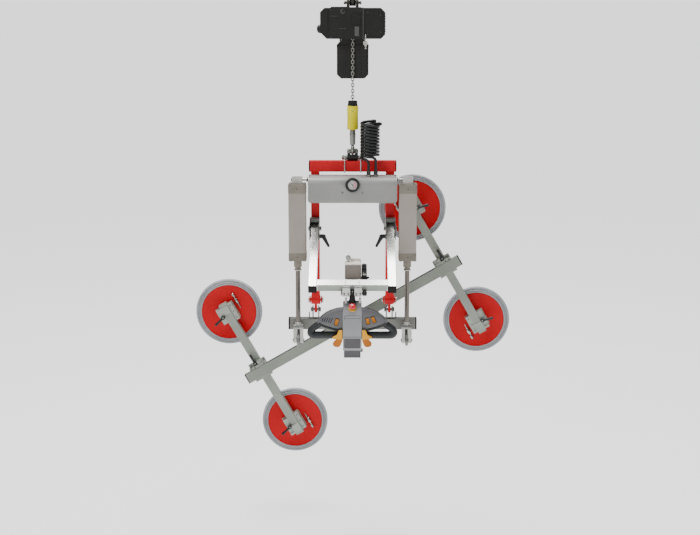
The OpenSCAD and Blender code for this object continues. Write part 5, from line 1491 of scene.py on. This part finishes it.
@dataclass
class Studio:
    """Camera, pale floor and soft light."""

    sensor: float = 36.0
    # The lens sees as from 1349 pixels away on a picture 700 pixels wide.
    focal: float = sensor * 1349.0 / 700.0
    eye: tuple[float, float, float] = (0.0185, -5.705, -0.0274)
    pitch: float = 90.0 - 11.2
    yaw: float = 0.0052
    floor: float = -2.32

    def camera(self) -> None:
        """Set the camera level with the crane eye, looking a little down, as in the photograph."""
        data = bpy.data.cameras.new("camera")
        data.sensor_width = self.sensor
        data.lens = self.focal
        data.clip_end = 4000.0
        camera = add_object("camera", data)
        camera.location = self.eye
        camera.rotation_euler = (math.radians(self.pitch), 0.0, self.yaw)
        bpy.context.scene.camera = camera

    def ground(self) -> None:
        """Lay a pale floor that ends, far away on every side, in a wall: rings round the middle."""
        radius = np.array([1200.0, 2400.0, 2500.0, 2500.0])
        height = self.floor + np.array([0.0, 0.0, 4.0, 36.0])
        count = 48
        turn = full_turn(count)
        rings = np.stack([np.outer(radius, np.cos(turn)), np.outer(radius, np.sin(turn)),
                          np.outer(height, np.ones(count))], axis=-1)
        points = np.vstack([[[0.0, 0.0, self.floor]], rings.reshape(-1, 3)])
        pairs = [(i, (i + 1) % count) for i in range(count)]
        faces = [(0, i + 1, j + 1) for i, j in pairs]
        for low in range(1, 3 * count, count):
            faces += [(low + i, low + count + i, low + count + j, low + j) for i, j in pairs]
        mesh = bpy.data.meshes.new("floor")
        mesh.from_pydata(points.tolist(), [], faces)
        made = empty_material("pale_floor")
        tree = made.node_tree
        where = add_node(tree, "ShaderNodeTexCoord").outputs["Object"]
        cloud = add_node(tree, "ShaderNodeTexNoise", {},
                         {"Vector": where, "Scale": 0.4, "Detail": 2.0}).outputs["Fac"]
        tone = add_node(tree, "ShaderNodeMix", {"data_type": "RGBA"}, {
            "Factor": cloud, "A": linear("#9a9a99"), "B": linear("#949493")})
        shader = add_node(tree, "ShaderNodeBsdfPrincipled", {}, {
            "Base Color": tone.outputs["Result"], "Roughness": 0.8,
            "Emission Color": (1.0, 1.0, 1.0, 1.0),
            "Emission Strength": 1.6})
        add_node(tree, "ShaderNodeOutputMaterial", {}, {"Surface": shader.outputs[0]})
        mesh.materials.append(made)
        floor = add_object("floor", mesh)

    def lamp(self, name: str, place: Point, aim: Point, size: float, power: float) -> None:
        """Add one large soft lamp, its back turned away from what it lights.

        Args:
            name: Name of the lamp.
            place: Where it stands, in metres.
            aim: Point that it looks at.
            size: Width of its square face.
            power: Power in watts.
        """
        data = bpy.data.lights.new(name, "AREA")
        data.energy = power
        data.size = size
        lamp = add_object(name, data)
        gaze = np.array(aim, dtype=float) - np.array(place, dtype=float)
        flat = float(np.hypot(gaze[0], gaze[1]))
        lamp.location = place
        lamp.rotation_euler = (math.atan2(flat, -gaze[2]), 0.0, math.atan2(-gaze[0], gaze[1]))

    def build(self) -> None:
        """Set up the studio."""
        self.camera()
        self.ground()
        world = bpy.data.worlds.new("studio")
        world.use_nodes = True
        sky = world.node_tree.nodes["Background"]
        sky.inputs["Color"].default_value = (1.0, 1.0, 1.0, 1.0)
        sky.inputs["Strength"].default_value = 0.12
        bpy.context.scene.world = world
        self.lamp("key", (-3.0, -4.6, 2.4), (0.0, 0.0, -1.0), 1.8, 150.0)
        self.lamp("fill", (3.6, -3.6, 0.8), (0.0, 0.0, -1.1), 2.4, 25.0)
        self.lamp("top", (-0.3, 0.6, 3.0), (0.0, 0.1, -1.1), 3.4, 520.0)


def main() -> None:
    logging.basicConfig(level=logging.INFO, format="%(name)s %(message)s")
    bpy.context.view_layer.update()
    Studio().build()
    for assembly in (Housing(), Hoist(), Suspension(), RedFrame(), HandleArm(), ControlHandle(),
                     TiltBar(), PadFrame()):
        LOG.info("building %s", type(assembly).__name__)
        assembly.build()


if __name__ == "__main__":
    main()
